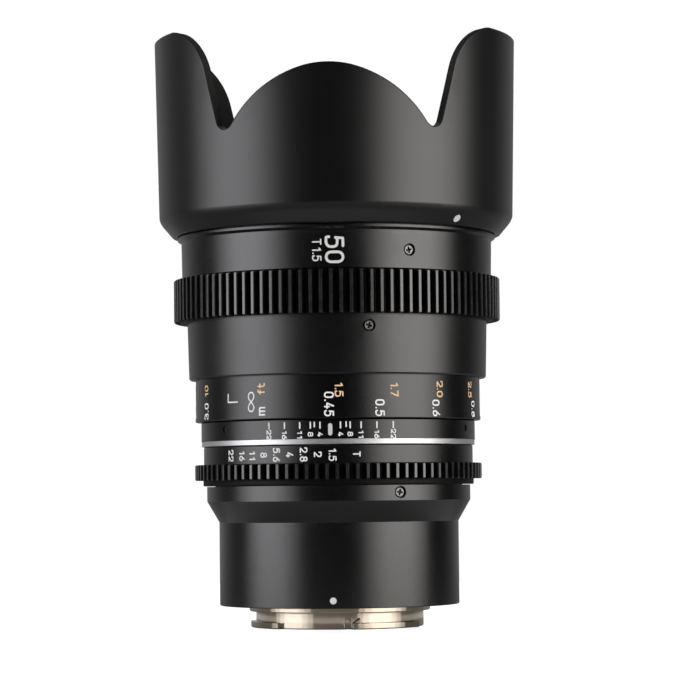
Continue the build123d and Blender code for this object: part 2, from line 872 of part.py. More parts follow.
# Focus sleeve: the smooth, slightly flared grip between the scale and the gear
with BuildPart() as focus_sleeve:
    turn(
        (focus_bore_r, scale_top),
        (sleeve_r - sleeve_edge, scale_top),
        (sleeve_r, scale_top + sleeve_edge),
        (sleeve_r + sleeve_top_step, sleeve_top),
        (focus_bore_r, sleeve_top),
    )
    screw_recesses(
        sleeve_screw_azimuths, sleeve_screw_height, sleeve_screw_r, focus_bore_r - overrun
    )
write_piece(focus_sleeve.part, "focus_sleeve")
radial_screws(
    "focus_sleeve_screws",
    sleeve_screw_azimuths,
    sleeve_screw_height,
    sleeve_screw_r,
    cam_barrel_r - screw_bite,
    sleeve_screw_turn_angle,
)

# Focus gear: the wide toothed ring that a follow focus drives
focus_teeth = round(2 * (focus_bore_r + focus_gear_depth) / gear_module)
with BuildPart() as focus_gear:
    gear_teeth(focus_teeth, focus_phase_angle, sleeve_top, focus_gear_top, focus_bore_r)
write_piece(focus_gear.part, "focus_gear")

# Front barrel: fixed on the guide barrel, with the filter thread's bore and the hood's bayonet
web_ceiling = front_bottom + web_height
groove_top = spigot_top - groove_drop
groove_bottom = groove_top - groove_height
groove_r = spigot_r - groove_depth
bezel_seat_r = filter_bore_r - bezel_seat_step
bezel_bottom = web_ceiling + seat_gap
bezel_top = bezel_bottom + bezel_height
with BuildPart() as front_barrel:
    turn(
        (guide_r + seat_gap, front_bottom),
        (front_r - edge_break, front_bottom),
        (front_r, front_bottom + edge_break),
        (front_r + front_taper, flare_bottom),
        (spigot_r + flange_step, flange_top - flange_lip_height),
        (spigot_r + flange_step, flange_top),
        (spigot_r, flange_top),
        (spigot_r, groove_bottom),
        (groove_r, groove_bottom),
        (groove_r, groove_top),
        (spigot_r, groove_top),
        (spigot_r, spigot_top - edge_break),
        (spigot_r - edge_break, spigot_top),
        (filter_bore_r + edge_break, spigot_top),
        (filter_bore_r, spigot_top - edge_break),
        (filter_bore_r, bezel_top),
        (bezel_seat_r, bezel_top),
        (bezel_seat_r, web_ceiling),
        (guide_r + seat_gap, web_ceiling),
    )
    for azimuth in lug_azimuths:
        turn_part(
            azimuth + hood_rest_angle + hood_unlock_angle - lug_span / 2 - lug_play_angle,
            lug_span + 2 * lug_play_angle,
            (groove_r, groove_bottom),
            (spigot_r + overrun, groove_bottom),
            (spigot_r + overrun, spigot_top + overrun),
            (groove_r, spigot_top + overrun),
            mode=Mode.SUBTRACT,
        )
    screw_recesses(front_screw_azimuths, front_screw_z, front_r + front_taper / 2, guide_r - overrun)
write_piece(front_barrel.part, "front_barrel")
radial_screws(
    "front_barrel_screws",
    front_screw_azimuths,
    front_screw_z,
    front_r + front_taper / 2,
    guide_r - screw_bite,
    front_screw_turn_angle,
)

# Front bezel: a stepped black funnel between the filter thread and the front glass
bezel_r = bezel_seat_r - seat_gap
bezel_bore_r = front_cell_r + bezel_reach
step_width = (bezel_r - baffle_wall - bezel_bore_r) / bezel_steps
step_height = (bezel_height - baffle_wall) / bezel_steps
bezel_outline = [(bezel_bore_r, bezel_bottom), (bezel_r, bezel_bottom), (bezel_r, bezel_top)]
for step in range(bezel_steps):
    step_r = bezel_r - baffle_wall - step * step_width
    bezel_outline.append((step_r, bezel_top - step * step_height))
    bezel_outline.append((step_r, bezel_top - (step + 1) * step_height))
bezel_outline.append((bezel_bore_r, bezel_bottom + baffle_wall))
with BuildPart() as front_bezel:
    turn(*bezel_outline)
write_piece(front_bezel.part, "front_bezel")

# Hood bayonet ring: turns on the front barrel's spigot, its lugs run in the groove
lug_bottom = groove_bottom + (groove_height - lug_height) / 2
with BuildPart() as hood_bayonet_ring:
    turn(*box_outline(hood_ring_bore_r, hood_ring_r, hood_bottom, hood_bottom + hood_ring_height))
    for azimuth in lug_azimuths:
        turn_part(
            azimuth + hood_rest_angle - lug_span / 2,
            lug_span,
            *box_outline(
                groove_r + run_gap,
                (hood_ring_bore_r + hood_ring_r) / 2,
                lug_bottom,
                lug_bottom + lug_height,
            ),
        )
write_piece(hood_bayonet_ring.part, "hood_bayonet_ring")

# Hood: a turned shell with a rounded cone at its foot, cut into two tall and two low petals
shell_bore_r = hood_ring_r + seat_gap
lip_r = shell_bore_r + hood_lip_reach
rim_r = hood_wall_r + hood_rim_step
floor_r = shell_bore_r + hood_floor_reach
cone_point = (lip_r + hood_cone_reach, hood_bottom + hood_lip_height + hood_cone_height)
lip_point = (lip_r + hood_lip_height * 2, hood_bottom + hood_lip_height)
notch_foot = (
    rim_r * sin(radians(notch_azimuth - notch_azimuth)),
    hood_rim - notch_depth,
)


def along_rim(azimuth):
    """Distance from a notch's own centre line to another azimuth, seen square on at the rim."""
    return rim_r * sin(radians(azimuth - notch_azimuth))


with BuildPart() as hood:
    with BuildSketch(Plane.XZ):
        with BuildLine():
            Line((shell_bore_r, hood_bottom), (lip_r, hood_bottom))
            Line((lip_r, hood_bottom), lip_point)
            foot_line = Line(lip_point, cone_point)
            TangentArc(
                cone_point, (hood_wall_r, hood_bottom + hood_shoulder_height), tangent=foot_line % 1
            )
            Line((hood_wall_r, hood_bottom + hood_shoulder_height), (rim_r, hood_rim - edge_break))
            Line((rim_r, hood_rim - edge_break), (rim_r - edge_break, hood_rim))
            Line((rim_r - edge_break, hood_rim), (rim_r - hood_wall, hood_rim))
            Line(
                (rim_r - hood_wall, hood_rim),
                (hood_wall_r - hood_wall, hood_bottom + hood_floor_height + hood_floor_rise),
            )
            Line(
                (hood_wall_r - hood_wall, hood_bottom + hood_floor_height + hood_floor_rise),
                (floor_r, hood_bottom + hood_floor_height),
            )
            Line(
                (floor_r, hood_bottom + hood_floor_height),
                (shell_bore_r, hood_bottom + hood_floor_height),
            )
            Line((shell_bore_r, hood_bottom + hood_floor_height), (shell_bore_r, hood_bottom))
        make_face()
    revolve(axis=Axis.Z)
    low_rim = hood_rim - low_petal_drop
    for azimuth, side in (
        (notch_azimuth, 1),
        (-notch_azimuth, -1),
        (180 - notch_azimuth, -1),
        (180 + notch_azimuth, 1),
    ):
        low_start = (side * along_rim(-petal_overlap), low_rim)
        low_middle = (side * along_rim(0), low_rim)
        low_side = (side * along_rim(low_arc_azimuth), low_rim - low_arc_drop)
        flank_top = (side * along_rim(flank_azimuth), hood_rim - flank_drop)
        tall_end = (side * along_rim(tall_arc_azimuth), hood_rim)
        with BuildSketch(outward_plane(azimuth + hood_rest_angle, rim_r / 2, 0)):
            with BuildLine():
                top_line = Line(low_start, low_middle)
                low_arc = TangentArc(low_middle, low_side, tangent=top_line % 1)
                TangentArc(low_side, notch_foot, tangent=low_arc % 1)
                flank = Line(notch_foot, flank_top)
                TangentArc(flank_top, tall_end, tangent=flank % 1)
                Line(tall_end, (tall_end[0], hood_rim + overrun))
                Line((tall_end[0], hood_rim + overrun), (low_start[0], hood_rim + overrun))
                Line((low_start[0], hood_rim + overrun), low_start)
            make_face()
            fillet(vertices().sort_by(Axis.Y)[0], notch_round)
        extrude(amount=rim_r, mode=Mode.SUBTRACT)
    dot_rise = hood_dot_share * hood_cone_height
    dot_r = lip_point[0] + dot_rise * (cone_point[0] - lip_point[0]) / (cone_point[1] - lip_point[1])
    dot_x, dot_y = point_at(hood_dot_azimuth, dot_r)
    away_x, away_y = point_at(hood_dot_azimuth, 1)
    cone_length = hypot(cone_point[0] - lip_point[0], cone_point[1] - lip_point[1])
    lean_out = (cone_point[1] - lip_point[1]) / cone_length
    lean_down = (cone_point[0] - lip_point[0]) / cone_length
    dot_plane = Plane(
        origin=(dot_x, dot_y, lip_point[1] + dot_rise),
        z_dir=(away_x * lean_out, away_y * lean_out, -lean_down),
    )
    with BuildSketch(dot_plane.offset(-hood_dot_depth - seat_gap)):
        Circle(hood_dot_r + seat_gap)
    extrude(amount=hood_dot_depth + overrun, mode=Mode.SUBTRACT)
write_piece(hood.part, "hood")

# Hood index: a white bead set in the hood's cone, turned to the front barrel's figures to fit it
with BuildPart() as hood_index_dot:
    with BuildSketch(dot_plane.offset(-hood_dot_depth)):
        Circle(hood_dot_r)
    extrude(amount=hood_dot_depth + seat_gap)
write_piece(hood_index_dot.part, "hood_index_dot")


def glass_element(name, edge_r, top, top_curve, top_clear_r, bottom, bottom_curve, bottom_clear_r):
    """A round glass element: two spherical faces, with a flat ring outside each clear radius."""
    top_rim = surface_height(top, top_curve, top_clear_r)
    top_mid = (top_clear_r / 2, surface_height(top, top_curve, top_clear_r / 2))
    bottom_rim = surface_height(bottom, bottom_curve, bottom_clear_r)
    bottom_mid = (bottom_clear_r / 2, surface_height(bottom, bottom_curve, bottom_clear_r / 2))
    with BuildPart() as element:
        with BuildSketch(Plane.XZ):
            with BuildLine():
                Line((0, bottom), (0, top))
                ThreePointArc((0, top), top_mid, (top_clear_r, top_rim))
                if top_clear_r < edge_r:
                    Line((top_clear_r, top_rim), (edge_r, top_rim))
                Line((edge_r, top_rim), (edge_r, bottom_rim))
                if bottom_clear_r < edge_r:
                    Line((edge_r, bottom_rim), (bottom_clear_r, bottom_rim))
                ThreePointArc((bottom_clear_r, bottom_rim), bottom_mid, (0, bottom))
            make_face()
        revolve(axis=Axis.Z)
    write_piece(element.part, name)


# Nine glass elements in six groups, from the front to the mount
glass_element(
    "lens_1",
    front_glass_r,
    lens_1_top,
    lens_1_top_curve,
    front_glass_r,
    lens_1_bottom,
    lens_1_bottom_curve,
    front_glass_r,
)
glass_element(
    "lens_2",
    middle_glass_r,
    lens_2_top,
    lens_2_top_curve,
    middle_glass_r,
    lens_2_bottom,
    lens_2_bottom_curve,
    middle_glass_r,
)
glass_element(
    "lens_3",
    middle_glass_r,
    lens_3_top,
    lens_2_bottom_curve,
    middle_glass_r,
    lens_3_bottom,
    lens_3_bottom_curve,
    lens_3_clear_r,
)
glass_element(
    "lens_4",
    rear_glass_r,
    lens_4_top,
    lens_4_top_curve,
    lens_4_clear_r,
    lens_4_bottom,
    lens_4_bottom_curve,
    rear_glass_r,
)
rear_elements = (
    ("lens_5", lens_5_top, lens_4_bottom_curve, lens_5_bottom, lens_5_bottom_curve),
    ("lens_6", lens_6_top, lens_6_top_curve, lens_6_bottom, lens_6_bottom_curve),
    ("lens_7", lens_7_top, lens_6_bottom_curve, lens_7_bottom, lens_7_bottom_curve),
    ("lens_8", lens_8_top, lens_8_top_curve, lens_8_bottom, lens_8_bottom_curve),
    ("lens_9", lens_9_top, lens_9_top_curve, lens_9_bottom, lens_9_bottom_curve),
)
for name, top, top_curve, bottom, bottom_curve in rear_elements:
    glass_element(
        name, rear_glass_r, top, top_curve, rear_glass_r, bottom, bottom_curve, rear_glass_r
    )

# Front cell: the stepped tube that the three front elements drop into from the front
front_step = middle_rim + edge_break
with BuildPart() as front_cell:
    turn(
        (lens_3_clear_r + shoulder_reach, web_bottom),
        (nose_r, web_bottom),
        (nose_r, web_top),
        (front_cell_r, web_top),
        (front_cell_r, cell_top - edge_break),
        (front_cell_r - edge_break, cell_top),
        (thread_r, cell_top),
        (thread_r, lens_1_edge),
        (front_glass_r + seat_gap, lens_1_edge),
        (front_glass_r + seat_gap, front_step),
        (middle_glass_r + seat_gap, front_step),
        (middle_glass_r + seat_gap, front_seat),
        (lens_3_clear_r + shoulder_reach, front_seat),
    )
write_piece(front_cell.part, "front_cell")

# Front spacer: keeps the first element off the second
spacer_foot_r = middle_glass_r - spacer_foot
spacer_foot_height = surface_height(lens_2_top, lens_2_top_curve, spacer_foot_r) + seat_gap
with BuildPart() as front_spacer:
    turn(
        (spacer_foot_r, spacer_foot_height),
        (middle_glass_r + seat_gap, front_step + seat_gap),
        (front_glass_r, front_step + seat_gap),
        (front_glass_r, lens_1_rim - seat_gap),
        (front_glass_r - spacer_wall, lens_1_rim - seat_gap),
    )
write_piece(front_spacer.part, "front_spacer")

# Front retainer: a threaded ring with two spanner slots that holds the front element down
retainer_top = cell_top - retainer_sink
with BuildPart() as front_retainer:
    turn(
        (retainer_bore_r, retainer_bottom),
        (thread_r - seat_gap, retainer_bottom),
        (thread_r - seat_gap, retainer_top),
        (thread_r - spacer_wall, retainer_top),
    )
    for azimuth in (90, 270):
        with BuildSketch(outward_plane(azimuth, retainer_bore_r - overrun, retainer_top)):
            Rectangle(spanner_slot_width, spanner_slot_depth * 2)
        extrude(amount=retainer_lip + cell_thread_step + overrun * 2, mode=Mode.SUBTRACT)
write_piece(front_retainer.part, "front_retainer")

# Iris: radii from the guide barrel inwards, with the pivots set so that the pins reach the cam ring
tang_r = guide_bore_r - tang_gap
skirt_r = tang_r - tang_wall - loose_gap
skirt_bore_r = skirt_r - skirt_wall
housing_r = skirt_bore_r - seat_gap
housing_bore_r = housing_r - housing_wall
cam_ring_r = housing_bore_r - run_gap
cam_slot_half = blade_pin_r + cam_slot_gap
blade_pin_place_r = cam_ring_r - cam_ring_rim - cam_slot_half
blade_inner_r = iris_open_r + blade_clearance
blade_reach = blade_inner_r - iris_closed_r
pivot_r = sqrt(blade_pin_place_r**2 - blade_arm**2 - blade_arm * blade_reach)
blade_outer_r = pivot_r - pivot_inset
blade_swing = degrees(2 * asin(blade_reach / (2 * pivot_r)))
arm_angle = 90 - blade_swing / 2


def swung(point, angle):
    """A point in plan after a turn about the lens axis."""
    x, y = point
    c, s = cos(radians(angle)), sin(radians(angle))
    return (x * c - y * s, x * s + y * c)


def blade_pin_place(share):
    """Where the first blade's drive pin is, as seen on the iris cam ring, at a share of the throw."""
    angle = arm_angle + share * blade_swing
    pin = (pivot_r + blade_arm * cos(radians(angle)), blade_arm * sin(radians(angle)))
    return swung(pin, -share * aperture_throw_angle)


pin_open = blade_pin_place(0)
pin_half = blade_pin_place(0.5)
pin_shut = blade_pin_place(1)
tang_half = degrees(tang_width / 2 / tang_r)
window_start = drive_pin_azimuth - tang_half - window_play_angle
window_span = 2 * tang_half + aperture_throw_angle + 2 * window_play_angle
window_outline = box_outline(
    cam_ring_r - overrun / 2, skirt_r + overrun, cam_ring_bottom - face_gap, cam_ring_top + face_gap
)

# Iris housing: a shallow cup with a pivot hole for each blade and a window for the drive tang
with BuildPart() as iris_housing:
    turn(
        (iris_open_r, floor_bottom),
        (housing_r, floor_bottom),
        (housing_r, housing_top),
        (housing_bore_r, housing_top),
        (housing_bore_r, floor_top),
        (iris_open_r, floor_top),
    )
    with BuildSketch(Plane.XY.offset(floor_bottom - overrun)):
        with PolarLocations(pivot_r, blade_count):
            Circle(blade_pin_r + run_gap)
    extrude(amount=housing_floor + 2 * overrun, mode=Mode.SUBTRACT)
    turn_part(window_start, window_span, *window_outline, mode=Mode.SUBTRACT)
write_piece(iris_housing.part, "iris_housing")

# Iris cover: the ring that closes the housing over the cam ring
with BuildPart() as iris_cover:
    turn(*box_outline(iris_open_r, housing_bore_r - seat_gap, cover_bottom, housing_top))
write_piece(iris_cover.part, "iris_cover")

# Iris cam ring: eight curved slots swing the blades, and a long tang reaches back to the drive pin
tang_slot_half = drive_pin_r + slot_gap
tang_bottom = drive_pin_height - tang_slot_half - tang_end
slot_middle = drive_pin_height + focus_travel / 2
slot_line = ThreePointArc(pin_open, pin_half, pin_shut)
with BuildPart() as iris_cam_ring:
    turn(*box_outline(iris_open_r, cam_ring_r, cam_ring_bottom, cam_ring_top))
    with BuildSketch(Plane.XY.offset(cam_ring_bottom - overrun)):
        with PolarLocations(0, blade_count):
            SlotArc(slot_line, 2 * cam_slot_half)
    extrude(amount=cam_ring_thickness + 2 * overrun, mode=Mode.SUBTRACT)
    turn_part(
        drive_pin_azimuth - tang_half,
        2 * tang_half,
        *box_outline(cam_ring_r - cam_ring_rim / 2, tang_r, cam_ring_bottom, cam_ring_top),
    )
    turn_part(
        drive_pin_azimuth - tang_half,
        2 * tang_half,
        *box_outline(tang_r - tang_wall, tang_r, tang_bottom, cam_ring_top),
    )
    with BuildSketch(outward_plane(drive_pin_azimuth, skirt_r - overrun, slot_middle)):
        SlotCenterToCenter(focus_travel, 2 * tang_slot_half, rotation=90)
    extrude(amount=tang_wall + 2 * overrun, mode=Mode.SUBTRACT)
write_piece(iris_cam_ring.part, "iris_cam_ring")

# Iris blades: thin curved leaves, each with a pivot pin below and a drive pin above
for blade in range(blade_count):
    blade_turn = 360 * blade / blade_count
    blade_bottom = first_blade + blade * blade_pitch
    blade_top = blade_bottom + blade_thickness
    blade_plane = Plane.XY.rotated((0, 0, blade_turn)).offset(blade_bottom)
    pivot_x, pivot_y = swung((pivot_r, 0), blade_turn)
    pin_x, pin_y = swung(pin_open, blade_turn)
    with BuildPart() as iris_blade:
        with BuildSketch(blade_plane) as leaf:
            with BuildLine():
                outer_arc = CenterArc((0, 0), blade_outer_r, blade_start_angle, blade_end_angle - blade_start_angle)
                inner_arc = CenterArc((0, 0), blade_inner_r, blade_start_angle, blade_end_angle - blade_start_angle)
                Line(outer_arc @ 0, inner_arc @ 0)
                Line(outer_arc @ 1, inner_arc @ 1)
            make_face()
            with Locations((pivot_r, 0)):
                Circle(blade_tab_r)
            with Locations(((pivot_r + pin_open[0]) / 2, pin_open[1] / 2)):
                SlotCenterToCenter(blade_arm, 2 * blade_arm_half, rotation=arm_angle)
        extrude(amount=blade_thickness)
        with BuildSketch(Plane.XY.offset(floor_bottom)):
            with Locations((pivot_x, pivot_y)):
                Circle(blade_pin_r)
        extrude(amount=blade_bottom - floor_bottom)
        with BuildSketch(Plane.XY.offset(blade_top)):
            with Locations((pin_x, pin_y)):
                Circle(blade_pin_r)
        extrude(amount=cam_ring_top - blade_top)
    write_piece(iris_blade.part, f"iris_blade_{blade + 1}")

# Aperture drive pin: joins the aperture ring to the iris tang through the guide barrel's slot
pin_inner_r = tang_r - tang_wall
with BuildPart() as aperture_drive_pin:
    radial_rod(
        drive_pin_azimuth, drive_pin_height, drive_pin_r, pin_inner_r, t_scale_r - drive_pin_cover
    )
write_piece(aperture_drive_pin.part, "aperture_drive_pin")

# Rear cell: a long stepped tube, flanged at its top, that holds the six rear elements
flange_bottom = rear_cell_top - rear_cell_flange
rear_bore_r = rear_glass_r + seat_gap
rear_tube_r = rear_bore_r + rear_cell_wall
lens_9_rim = surface_height(lens_9_bottom, lens_9_bottom_curve, rear_glass_r)
rear_cell_bottom = lens_9_rim - rear_cell_tail
with BuildPart() as rear_cell:
    turn(
        (lens_4_clear_r + shoulder_reach, rear_shoulder),
        (rear_bore_r, rear_shoulder),
        (rear_bore_r, rear_cell_bottom),
        (rear_tube_r, rear_cell_bottom),
        (rear_tube_r, flange_bottom - rear_cell_neck),
        (rear_tube_r + rear_cell_neck, flange_bottom),
        (skirt_bore_r - seat_gap, flange_bottom),
        (skirt_bore_r - seat_gap, rear_cell_top),
        (rear_bore_r, rear_cell_top),
        (lens_4_clear_r + shoulder_reach, rear_shoulder + shoulder_thickness),
    )
write_piece(rear_cell.part, "rear_cell")

# Rear spacers: thin rings at the edges of the rear elements, between one rim and the next
rear_gaps = (
    ("spacer_5_6", lens_5_bottom, lens_5_bottom_curve, lens_6_top, lens_6_top_curve),
    ("spacer_7_8", lens_7_bottom, lens_7_bottom_curve, lens_8_top, lens_8_top_curve),
    ("spacer_8_9", lens_8_bottom, lens_8_bottom_curve, lens_9_top, lens_9_top_curve),
)
spacer_bore_r = rear_glass_r - spacer_wall
for name, upper, upper_curve, lower, lower_curve in rear_gaps:
    with BuildPart() as rear_spacer:
        turn(
            (spacer_bore_r, surface_height(lower, lower_curve, spacer_bore_r) + seat_gap),
            (rear_glass_r, surface_height(lower, lower_curve, rear_glass_r) + seat_gap),
            (rear_glass_r, surface_height(upper, upper_curve, rear_glass_r) - seat_gap),
            (spacer_bore_r, surface_height(upper, upper_curve, spacer_bore_r) - seat_gap),
        )
    write_piece(rear_spacer.part, name)

# Rear retainer: a ring with two spanner slots, screwed into the rear cell under the last element
rear_retainer_top = lens_9_rim - seat_gap
with BuildPart() as rear_retainer:
    turn(
        (rear_glass_r - rear_retainer_reach, rear_retainer_top - rear_retainer_height),
        (rear_glass_r, rear_retainer_top - rear_retainer_height),
        (rear_glass_r, rear_retainer_top),
        (rear_glass_r - retainer_lip, rear_retainer_top),
    )
    for azimuth in (90, 270):
        with BuildSketch(
            outward_plane(
                azimuth, rear_glass_r - rear_retainer_reach - overrun, rear_retainer_top
            )
        ):
            with Locations((0, -rear_retainer_height)):
                Rectangle(spanner_slot_width, spanner_slot_depth)
        extrude(amount=rear_retainer_reach + 2 * overrun, mode=Mode.SUBTRACT)
write_piece(rear_retainer.part, "rear_retainer")

# Lens barrel: slides in the guide barrel on its upper land and carries both cells and the iris
nose_hole_r = nose_r + seat_gap
follower_screw_end = land_r - follower_bite
with BuildPart() as lens_barrel:
    turn(
        (nose_hole_r, web_bottom),
        (skirt_bore_r, web_bottom),
        (skirt_bore_r, flange_bottom),
        (skirt_r, flange_bottom),
        (skirt_r, land_bottom),
        (land_r, land_bottom),
        (land_r, land_top),
        (front_cell_r + seat_gap, land_top),
        (front_cell_r + seat_gap, web_top - seat_gap),
        (nose_hole_r, web_top - seat_gap),
    )
    turn_part(window_start, window_span, *window_outline, mode=Mode.SUBTRACT)
    for azimuth in follower_azimuths:
        radial_rod(
            azimuth,
            follower_height,
            follower_pin_r + seat_gap,
            follower_screw_end,
            land_r + overrun,
            Mode.SUBTRACT,
        )
write_piece(lens_barrel.part, "lens_barrel")

# Cam followers: shoulder screws in the lens barrel, each with a head that keeps its roller on
follower_tip_r = cam_barrel_r - follower_tip_gap
follower_head_r = follower_tip_r - follower_head_height
with BuildPart() as cam_followers:
    for azimuth in follower_azimuths:
        radial_rod(
            azimuth, follower_height, follower_pin_r, follower_screw_end, follower_head_r
        )
        radial_rod(
            azimuth,
            follower_height,
            (follower_pin_r + roller_r) / 2,
            follower_head_r,
            follower_tip_r,
        )
write_piece(cam_followers.part, "cam_followers")

# Follower rollers: bushes on the shoulder screws that run in both the straight and the cam slots
with BuildPart() as follower_rollers:
    for azimuth in follower_azimuths:
        radial_rod(
            azimuth, follower_height, roller_r, land_r + run_gap, follower_head_r - seat_gap
        )
        radial_rod(
            azimuth,
            follower_height,
            follower_pin_r + seat_gap,
            land_r - overrun,
            follower_head_r + overrun,
            Mode.SUBTRACT,
        )
write_piece(follower_rollers.part, "follower_rollers")
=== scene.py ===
import math

import bmesh
import bpy
from mathutils import Euler, Matrix, Vector


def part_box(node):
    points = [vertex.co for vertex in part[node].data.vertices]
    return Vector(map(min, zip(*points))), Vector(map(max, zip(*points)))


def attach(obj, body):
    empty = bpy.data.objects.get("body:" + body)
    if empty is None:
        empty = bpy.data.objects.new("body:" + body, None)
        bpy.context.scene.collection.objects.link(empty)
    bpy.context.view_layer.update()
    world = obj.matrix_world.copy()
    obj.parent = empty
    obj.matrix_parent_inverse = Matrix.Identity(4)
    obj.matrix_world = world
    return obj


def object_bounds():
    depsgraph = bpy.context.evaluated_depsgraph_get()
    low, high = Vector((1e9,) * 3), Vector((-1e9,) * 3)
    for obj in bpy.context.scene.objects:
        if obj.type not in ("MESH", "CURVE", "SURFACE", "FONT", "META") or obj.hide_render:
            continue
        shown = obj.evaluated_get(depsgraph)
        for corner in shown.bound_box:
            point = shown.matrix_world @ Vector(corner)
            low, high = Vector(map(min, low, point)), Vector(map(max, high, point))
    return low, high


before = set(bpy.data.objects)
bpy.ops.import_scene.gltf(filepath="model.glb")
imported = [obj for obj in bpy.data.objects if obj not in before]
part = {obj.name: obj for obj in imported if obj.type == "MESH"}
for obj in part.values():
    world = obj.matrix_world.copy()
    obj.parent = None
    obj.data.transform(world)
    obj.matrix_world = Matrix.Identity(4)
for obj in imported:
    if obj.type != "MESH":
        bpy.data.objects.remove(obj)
cad_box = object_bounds()


# Rear barrel: the long narrow tube, cone and wider band that everything else is screwed to.
# Turned from aluminium, bead blasted lightly and anodised black, with a slight warm tint
# where the dye is thin. The tool marks run round it.
class Shade:
    """A socket of a finish. Sums and products of shades add their own Math nodes."""

    def __init__(self, finish, socket):
        self.finish = finish
        self.socket = socket

    def join(self, operation, first, second=0.0):
        return self.finish.add("ShaderNodeMath", {"operation": operation}, {0: first, 1: second})

    def __add__(self, other):
        return self.join("ADD", self, other)

    def __sub__(self, other):
        return self.join("SUBTRACT", self, other)

    def __rsub__(self, other):
        return self.join("SUBTRACT", other, self)

    def __mul__(self, other):
        return self.join("MULTIPLY", self, other)

    def __abs__(self):
        return self.join("ABSOLUTE", self)

    __radd__ = __add__
    __rmul__ = __mul__


class Finish:
    """One material of the lens, with its places in millimetres on the piece itself."""

    def __init__(self, name):
        self.material = bpy.data.materials.new(name)
        self.material.use_nodes = True
        self.nodes = self.material.node_tree.nodes
        self.links = self.material.node_tree.links
        self.shader = self.nodes["Principled BSDF"]
        self.place = self.add("ShaderNodeTexCoord", {}, {}, "Object")
        self.x = 1000 * self.add("ShaderNodeSeparateXYZ", {}, {0: self.place}, 0)
        self.y = 1000 * self.add("ShaderNodeSeparateXYZ", {}, {0: self.place}, 1)
        self.z = 1000 * self.add("ShaderNodeSeparateXYZ", {}, {0: self.place}, 2)

    def add(self, kind, settings, values, out=0):
        """Add a node: its settings, then the values or links of its sockets."""
        node = self.nodes.new(kind)
        for setting, value in settings.items():
            setattr(node, setting, value)
        for place, value in values.items():
            if isinstance(value, Shade):
                self.links.new(value.socket, node.inputs[place])
            else:
                node.inputs[place].default_value = value
        return Shade(self, node.outputs[out])

    def feed(self, name, value):
        """Set one of the shader's own sockets."""
        if isinstance(value, Shade):
            self.links.new(value.socket, self.shader.inputs[name])
        else:
            self.shader.inputs[name].default_value = value

    def radius(self):
        """Distance from the lens axis in millimetres."""
        flat = self.add("ShaderNodeCombineXYZ", {}, {"X": self.x, "Y": self.y})
        return self.add("ShaderNodeVectorMath", {"operation": "LENGTH"}, {0: flat}, "Value")

    def cloud(self, size, detail=3.0, seed=0.0):
        """Soft blotches about size millimetres across, from 0 to 1."""
        shift = (seed, seed, seed)
        moved = self.add("ShaderNodeVectorMath", {"operation": "ADD"}, {0: self.place, 1: shift})
        return self.add(
            "ShaderNodeTexNoise", {}, {"Vector": moved, "Scale": 1000 / size, "Detail": detail}
        )

    def tool_marks(self, pitch, detail=2.0):
        """Fine lines that run round the lens axis, about pitch millimetres apart."""
        along = self.add(
            "ShaderNodeCombineXYZ", {}, {"X": self.radius() * (1 / pitch), "Y": self.z * (1 / pitch)}
        )
        return self.add("ShaderNodeTexNoise", {}, {"Vector": along, "Scale": 1.0, "Detail": detail})

    def between(self, value, low, high):
        """0 below low and 1 above high, with a smooth rise."""
        return self.add(
            "ShaderNodeMapRange",
            {"interpolation_type": "SMOOTHSTEP"},
            {"Value": value, "From Min": low, "From Max": high},
        )

    def rim(self, heights, width):
        """1 at each of these heights, falling to 0 a width away."""
        total = 0.0
        for height in heights:
            total = total + (1 - self.between(abs(self.z - height), 0.0, width))
        return total

    def tint(self, first, second, share):
        """A colour that goes from first to second with share."""
        return self.add(
            "ShaderNodeMix",
            {"data_type": "RGBA"},
            {0: share, 6: (*first, 1) if isinstance(first, tuple) else first, 7: (*second, 1)},
            2,
        )

    def crevice(self, reach):
        """0 deep in a groove or a corner and 1 in the open, looking reach millimetres around."""
        return self.add("ShaderNodeAmbientOcclusion", {"samples": 8}, {"Distance": reach / 1000}, 1)

    def relief(self, height, depth, strength=1.0, rounding=0.0):
        """Let height, from 0 to 1, raise the surface by up to depth millimetres.

        rounding softens every edge by that many millimetres, so that it catches the light.
        """
        values = {"Height": height, "Distance": depth / 1000, "Strength": strength}
        if rounding:
            values["Normal"] = self.add("ShaderNodeBevel", {"samples": 8}, {"Radius": rounding / 1000})
        self.feed("Normal", self.add("ShaderNodeBump", {}, values))

    def wear(self, *names):
        """Put this finish on CAD pieces or on new ones."""
        for name in names:
            piece = part[name] if isinstance(name, str) else name
            if not piece.data.materials:
                piece.data.materials.append(self.material)
            for slot in piece.material_slots:
                slot.material = self.material


def anodised(name, colour, roughness, edges, grain=0.16, marks=0.12, edge_width=0.22):
    """Black anodised aluminium: blasted grain, faint tool marks, edges painted paler as wear and as
    painted highlight lines, and fingered gloss.
    """
    finish = Finish(name)
    grains = finish.cloud(grain, 2.0)
    smudges = finish.cloud(9.0, 4.0, 3.0)
    lines = finish.tool_marks(marks)
    broken = finish.between(finish.cloud(1.7, 5.0, 8.0), 0.30, 0.75)
    # Paler colour at the edge heights: partly worn anodising, partly painted highlight lines along the
    # ring edges.
    edge_wear_and_highlight = finish.rim(edges, edge_width) * broken
    pale = tuple(0.012 + 6 * c for c in colour)
    deep = tuple(0.6 * c for c in colour)
    base = finish.tint(deep, colour, smudges)
    finish.feed("Base Color", finish.tint(base, pale, edge_wear_and_highlight * 0.8))
    finish.feed("Roughness", roughness - 0.03 + 0.08 * smudges + 0.05 * (grains - 0.5) - 0.08 * edge_wear_and_highlight)
    finish.feed("IOR", 1.76)
    finish.relief(grains * 0.6 + lines * 0.4, 0.006, 0.35)
    return finish


tube_top, cone_top, band_top = 21.5, 26.9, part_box("rear_barrel")[1].z * 1000
rear_edges = (tube_top, cone_top, band_top)
rear_black = anodised("rear_black", (0.0012, 0.0009, 0.0008), 0.25, rear_edges, marks=0.09)
rear_black.wear("rear_barrel")
